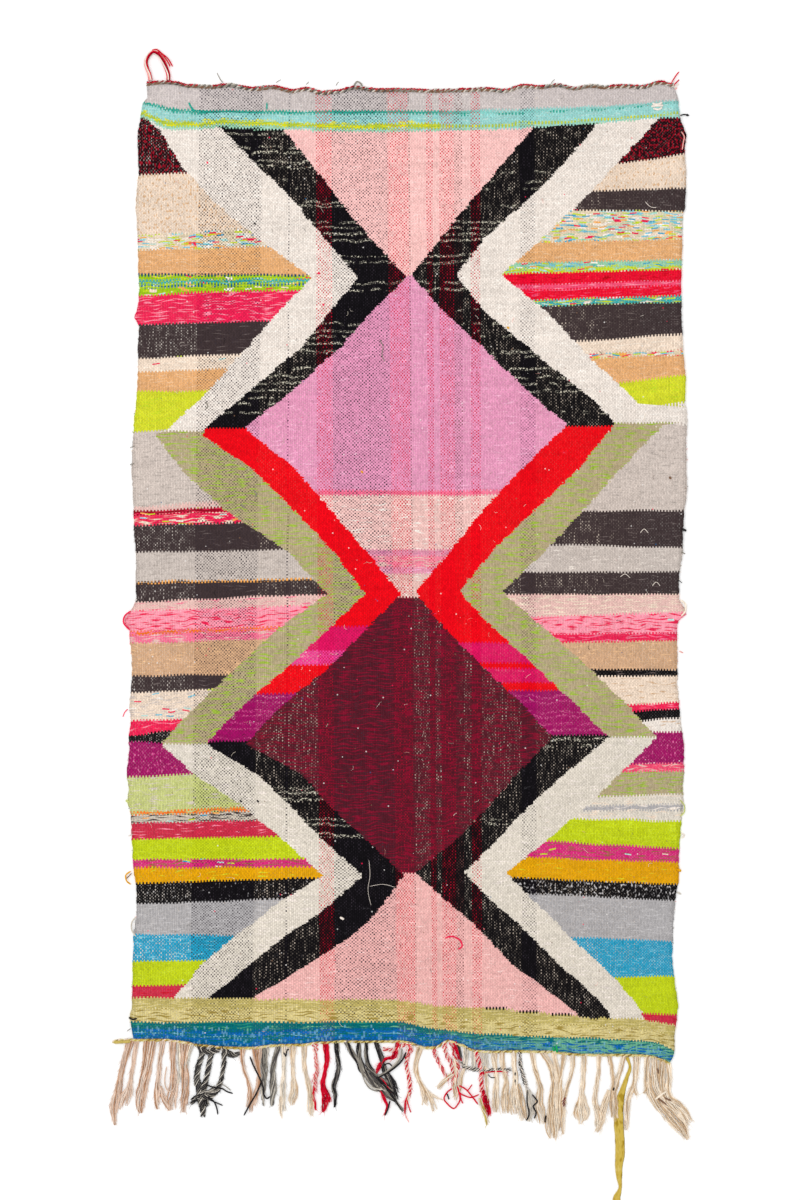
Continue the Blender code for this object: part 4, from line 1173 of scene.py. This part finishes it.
# The rag that hangs past the fringe: a torn strip folded along its length
tailRoute = ((627, 1057, 3), (630, 1067, 3), (627, 1077, 4), (623, 1089, 5.5), (620, 1100, 8), (619, 1113, 9),
             (619, 1128, 9.5), (620, 1142, 9.5), (620, 1153, 9.5), (619, 1165, 8), (619, 1175, 6),
             (620, 1188, 3.4), (617, 1197, 7), (616, 1205, 8.5), (615, 1213, 7))
tail = {"thickness": 0.0007, "folded": 0.72, "columns": 12, "steps": 6, "low": 0.0009,
        "layer": 0.0013}


def paintRag():
    paint = Paint("oliveRag")
    x, y, _ = paint.place()
    x, y = x / chart["square"], y / chart["square"]
    threads = paint.smooth(x / 0.5, y / 3.5, 2.0) - 0.5
    stain = paint.smooth(x / 4, y / 9, 5.0, 1.0)
    colour = paint.mix(((stain - 0.57) * 9).held(), paint.colour("rag"), paint.colour("ragShade"))
    colour = paint.mix(((0.40 - stain) * 9).held() * 0.6, colour, paint.colour("ragPale"))
    shade = 1 + threads * 0.35
    colour = paint.node("ShaderNodeVectorMath", {"operation": "MULTIPLY"},
                        {0: colour, 1: paint.vector(shade, shade, shade)})
    paint.dye(colour)
    paint.relief(threads, 0.0006, 0.5)
    return paint.cloth()


tailPoints = smoothRoute([Vector(row) for row in tailRoute], tail["steps"])
bm = bmesh.new()
rows = []
for i, point in enumerate(tailPoints):
    stepX, stepY = sideways(tailPoints, i)
    row = []
    for j in range(tail["columns"] + 1):
        # Under layer from the open edge to the fold, then back over it
        share = j / tail["columns"] * (1 + tail["folded"])
        over = max(0.0, share - 1)
        across = (min(share, 1.0) - over - 0.5) * point.z
        lift = min(over * 8, 1.0) * tail["layer"]
        wave = noise.noise(Vector((across * 0.5, i * 0.22, over * 3))) * 0.0007
        across += noise.noise(Vector((j * 0.1, i * 0.3, 2.0))) * 0.5
        row.append(bm.verts.new(onRug(point.x + stepX * across, point.y + stepY * across,
                                      tail["low"] + lift + abs(wave))))
    rows.append(row)
for above, below in zip(rows, rows[1:]):
    for j in range(tail["columns"]):
        bm.faces.new((above[j], above[j + 1], below[j + 1], below[j]))
tailArea = sum(face.calc_area() for face in bm.faces)
bmesh.ops.recalc_face_normals(bm, faces=bm.faces)
bmesh.ops.solidify(bm, geom=bm.faces[:], thickness=tail["thickness"])
bmesh.ops.recalc_face_normals(bm, faces=bm.faces)
ragTail = finishPiece("rag_tail_strip", bm, [paintRag()])
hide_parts("rag_tail")


# Threads, knots and lint on the cloth: yarn, thickness, then x and y
looseThreads = (
    ("woolGrey", 0.8, (380, 340), (383, 347), (382, 355), (385, 362)),
    ("pinkRed", 1.5, (445, 938), (452, 936), (460, 940), (462, 946), (458, 949)),
    ("pinkRed", 2.2, (318, 273), (320, 274)), ("pinkRed", 2.0, (323, 304), (324, 306)),
    ("pinkRed", 1.6, (207, 162), (208, 164)), ("pinkRed", 2.2, (194, 243), (196, 246)),
    ("pinkRed", 2.0, (612, 218), (614, 219)),
    ("woolWhite", 0.35, (369, 860), (370, 875), (368, 890), (371, 905)),
    ("woolWhite", 0.35, (370, 886), (383, 884), (395, 887)),
    ("woolWhite", 2.4, (340, 917), (344, 919)),
    ("woolGrey", 1.1, (254, 491), (257, 494), (255, 497)), ("woolGrey", 1.1, (241, 504), (245, 508)),
    ("woolGrey", 1.2, (206, 402), (208, 406), (206, 409)),
    ("woolBlack", 1.6, (254, 223), (256, 225)), ("woolBlack", 1.8, (240, 800), (242, 802)),
    ("woolBlack", 1.8, (257, 800), (259, 802)), ("orangeYellow", 1.8, (361, 471), (363, 473)),
    ("orangeYellow", 1.8, (507, 327), (509, 329)), ("woolBrown", 2.2, (669, 477), (671, 479)),
    ("woolWhite", 0.5, (645, 202), (650, 207), (656, 208)),
    ("woolWhite", 0.6, (640, 533), (644, 529), (648, 533)),
    ("woolWhite", 0.6, (620, 577), (625, 574), (630, 578)),
    ("woolWhite", 0.6, (652, 586), (656, 582), (660, 586)),
    ("tealLine", 1.8, (189, 103), (191, 107), (195, 112)), ("tealLine", 1.6, (267, 103), (267, 110)),
    ("cream", 2.2, (652, 104), (657, 105), (662, 103)), ("cream", 2.4, (651, 107), (657, 106), (663, 106)),
    ("cream", 2.2, (653, 109), (658, 110), (662, 108)), ("green", 2.2, (553, 1046), (554, 1051)),
    ("green", 2.4, (556, 1045), (557, 1052)),
    ("woolBlack", 1.4, (680, 116), (684, 115), (689, 116)), ("woolBlack", 2.4, (686, 115), (688, 116)),
    ("woolPink", 1.2, (681, 132), (684, 137), (683, 143), (682, 150)),
    ("woolBlack", 2.6, (682, 529), (686, 531)), ("woolGrey", 1.2, (681, 552), (685, 554)),
    ("woolBlack", 0.8, (678, 580), (682, 583)), ("woolSandPale", 1.6, (680, 600), (685, 604),
                                                 (685, 611), (681, 616)),
    ("woolPink", 1.2, (679, 651), (683, 653)), ("purple", 2.4, (680, 756), (684, 758)),
    ("paleGreen", 1.3, (680, 800), (684, 805), (684, 812), (680, 816)),
    ("woolWhite", 1.6, (681, 833), (684, 835), (682, 838)), ("orangeYellow", 2.6, (677, 869), (681, 871)),
    ("woolAsh", 1.6, (677, 892), (681, 894)),
    ("pinkRed", 1.6, (131, 611), (125, 616), (124, 623), (130, 630)),
    ("pinkRed", 1.0, (128, 709), (125, 712), (123, 717)), ("paleGreen", 2.4, (126, 800), (129, 802)),
    ("woolAsh", 0.8, (133, 834), (128, 836)),
    ("orangeYellow", 1.4, (131, 871), (126, 875), (127, 881), (131, 884)),
    ("woolBrown", 1.0, (132, 873), (126, 879)),
    ("woolAsh", 1.4, (136, 917), (132, 922), (132, 930), (136, 936)),
    ("gold", 3.0, (114, 1042), (122, 1041.5), (131, 1041)),
    ("woolBlack", 1.8, (129, 1017), (133, 1019), (137, 1018)), ("woolGrey", 0.8, (131, 1028), (127, 1031)),
    ("woolGrey", 0.8, (135, 446), (130, 448)), ("woolGrey", 0.8, (135, 463), (130, 465)),
)
lint = {"hairs": 240, "length": (2.5, 7.0), "radius": (0.07, 0.14), "edgeStep": 7.0,
        "yarns": ("woolWhite", "woolWhite", "woolAsh", "woolGrey", "woolSandPale", "woolPink",
                  "woolBlack", "woolBrown")}


def clothTop(x, y):
    place = onRug(x, y)
    return weave["thickness"] + ripple(place.x, place.y) + 0.0006


looseCurve = newYarns("loose_threads")
for yarn, thick, *route in looseThreads:
    layThread(looseCurve, yarn, thick, *route, up=clothTop(*route[0]))
random = Random(41)
for _ in range(lint["hairs"]):
    x, y = random.uniform(150, 668), random.uniform(95, 1035)
    heading, bend = random.uniform(0, tau), random.uniform(-0.9, 0.9)
    length, radius = random.uniform(*lint["length"]), random.uniform(*lint["radius"])
    places = []
    for _ in range(4):
        places.append(onRug(x, y, clothTop(x, y) + 0.0002))
        x, y = x + cos(heading) * length / 3, y + sin(heading) * length / 3
        heading += bend
    layYarn(looseCurve, places, [radius * chart["square"]] * 4, random.choice(lint["yarns"]))
for side, outward in ((leftSide, -1), (rightSide, 1)):
    # Fuzz that stands off the selvedges
    y = 100.0
    while y < 1036:
        edge = onChart(Vector((readLine(side, onRug(0, y).y), 0, 0)))[0]
        reach, drop = random.uniform(0.6, 2.6), random.uniform(-3.0, 3.0)
        places = [onRug(edge + outward * reach * share - outward, y + drop * share, 0.0030)
                  for share in (0, 0.5, 1)]
        radius = random.uniform(0.16, 0.42) * chart["square"]
        layYarn(looseCurve, places, (radius, radius, radius * 0.5), random.choice(lint["yarns"][:6]))
        y += lint["edgeStep"] * random.uniform(0.3, 1.5)
finishYarns(looseCurve)
print("loose threads laid")


# Floor and light
studio = {"floor": 12.0, "dome": 0.90, "softbox": 105.0, "softboxSize": 5.0}

bm = bmesh.new()
bmesh.ops.create_grid(bm, x_segments=1, y_segments=1, size=studio["floor"] / 2)
bmesh.ops.translate(bm, vec=(0, 0, -0.0004), verts=bm.verts)
floorMesh = bpy.data.meshes.new("floor")
bm.to_mesh(floorMesh)
bm.free()
floorPaint = Paint("floorPaint")
floorPaint.shader.inputs["Base Color"].default_value = (0.97, 0.97, 0.97, 1.0)
floorPaint.shader.inputs["Roughness"].default_value = 1.0
floorPaint.shader.inputs["Specular IOR Level"].default_value = 0.0
floorMesh.materials.append(floorPaint.material)
floorObject = bpy.data.objects.new("floor", floorMesh)
bpy.context.scene.collection.objects.link(floorObject)

world = bpy.data.worlds.new("studio")
world.use_nodes = True
world.node_tree.nodes["Background"].inputs["Color"].default_value = (1, 1, 1, 1)
world.node_tree.nodes["Background"].inputs["Strength"].default_value = studio["dome"]
bpy.context.scene.world = world
softbox = bpy.data.lights.new("softbox", "AREA")
softbox.size = studio["softboxSize"]
softbox.energy = studio["softbox"]
softboxObject = bpy.data.objects.new("softbox", softbox)
softboxObject.location = (-1.5, 0.3, 5.0)
softboxObject.rotation_euler = (-softboxObject.location).to_track_quat("-Z", "Y").to_euler()
bpy.context.scene.collection.objects.link(softboxObject)
bpy.context.scene.view_settings.view_transform = "Standard"
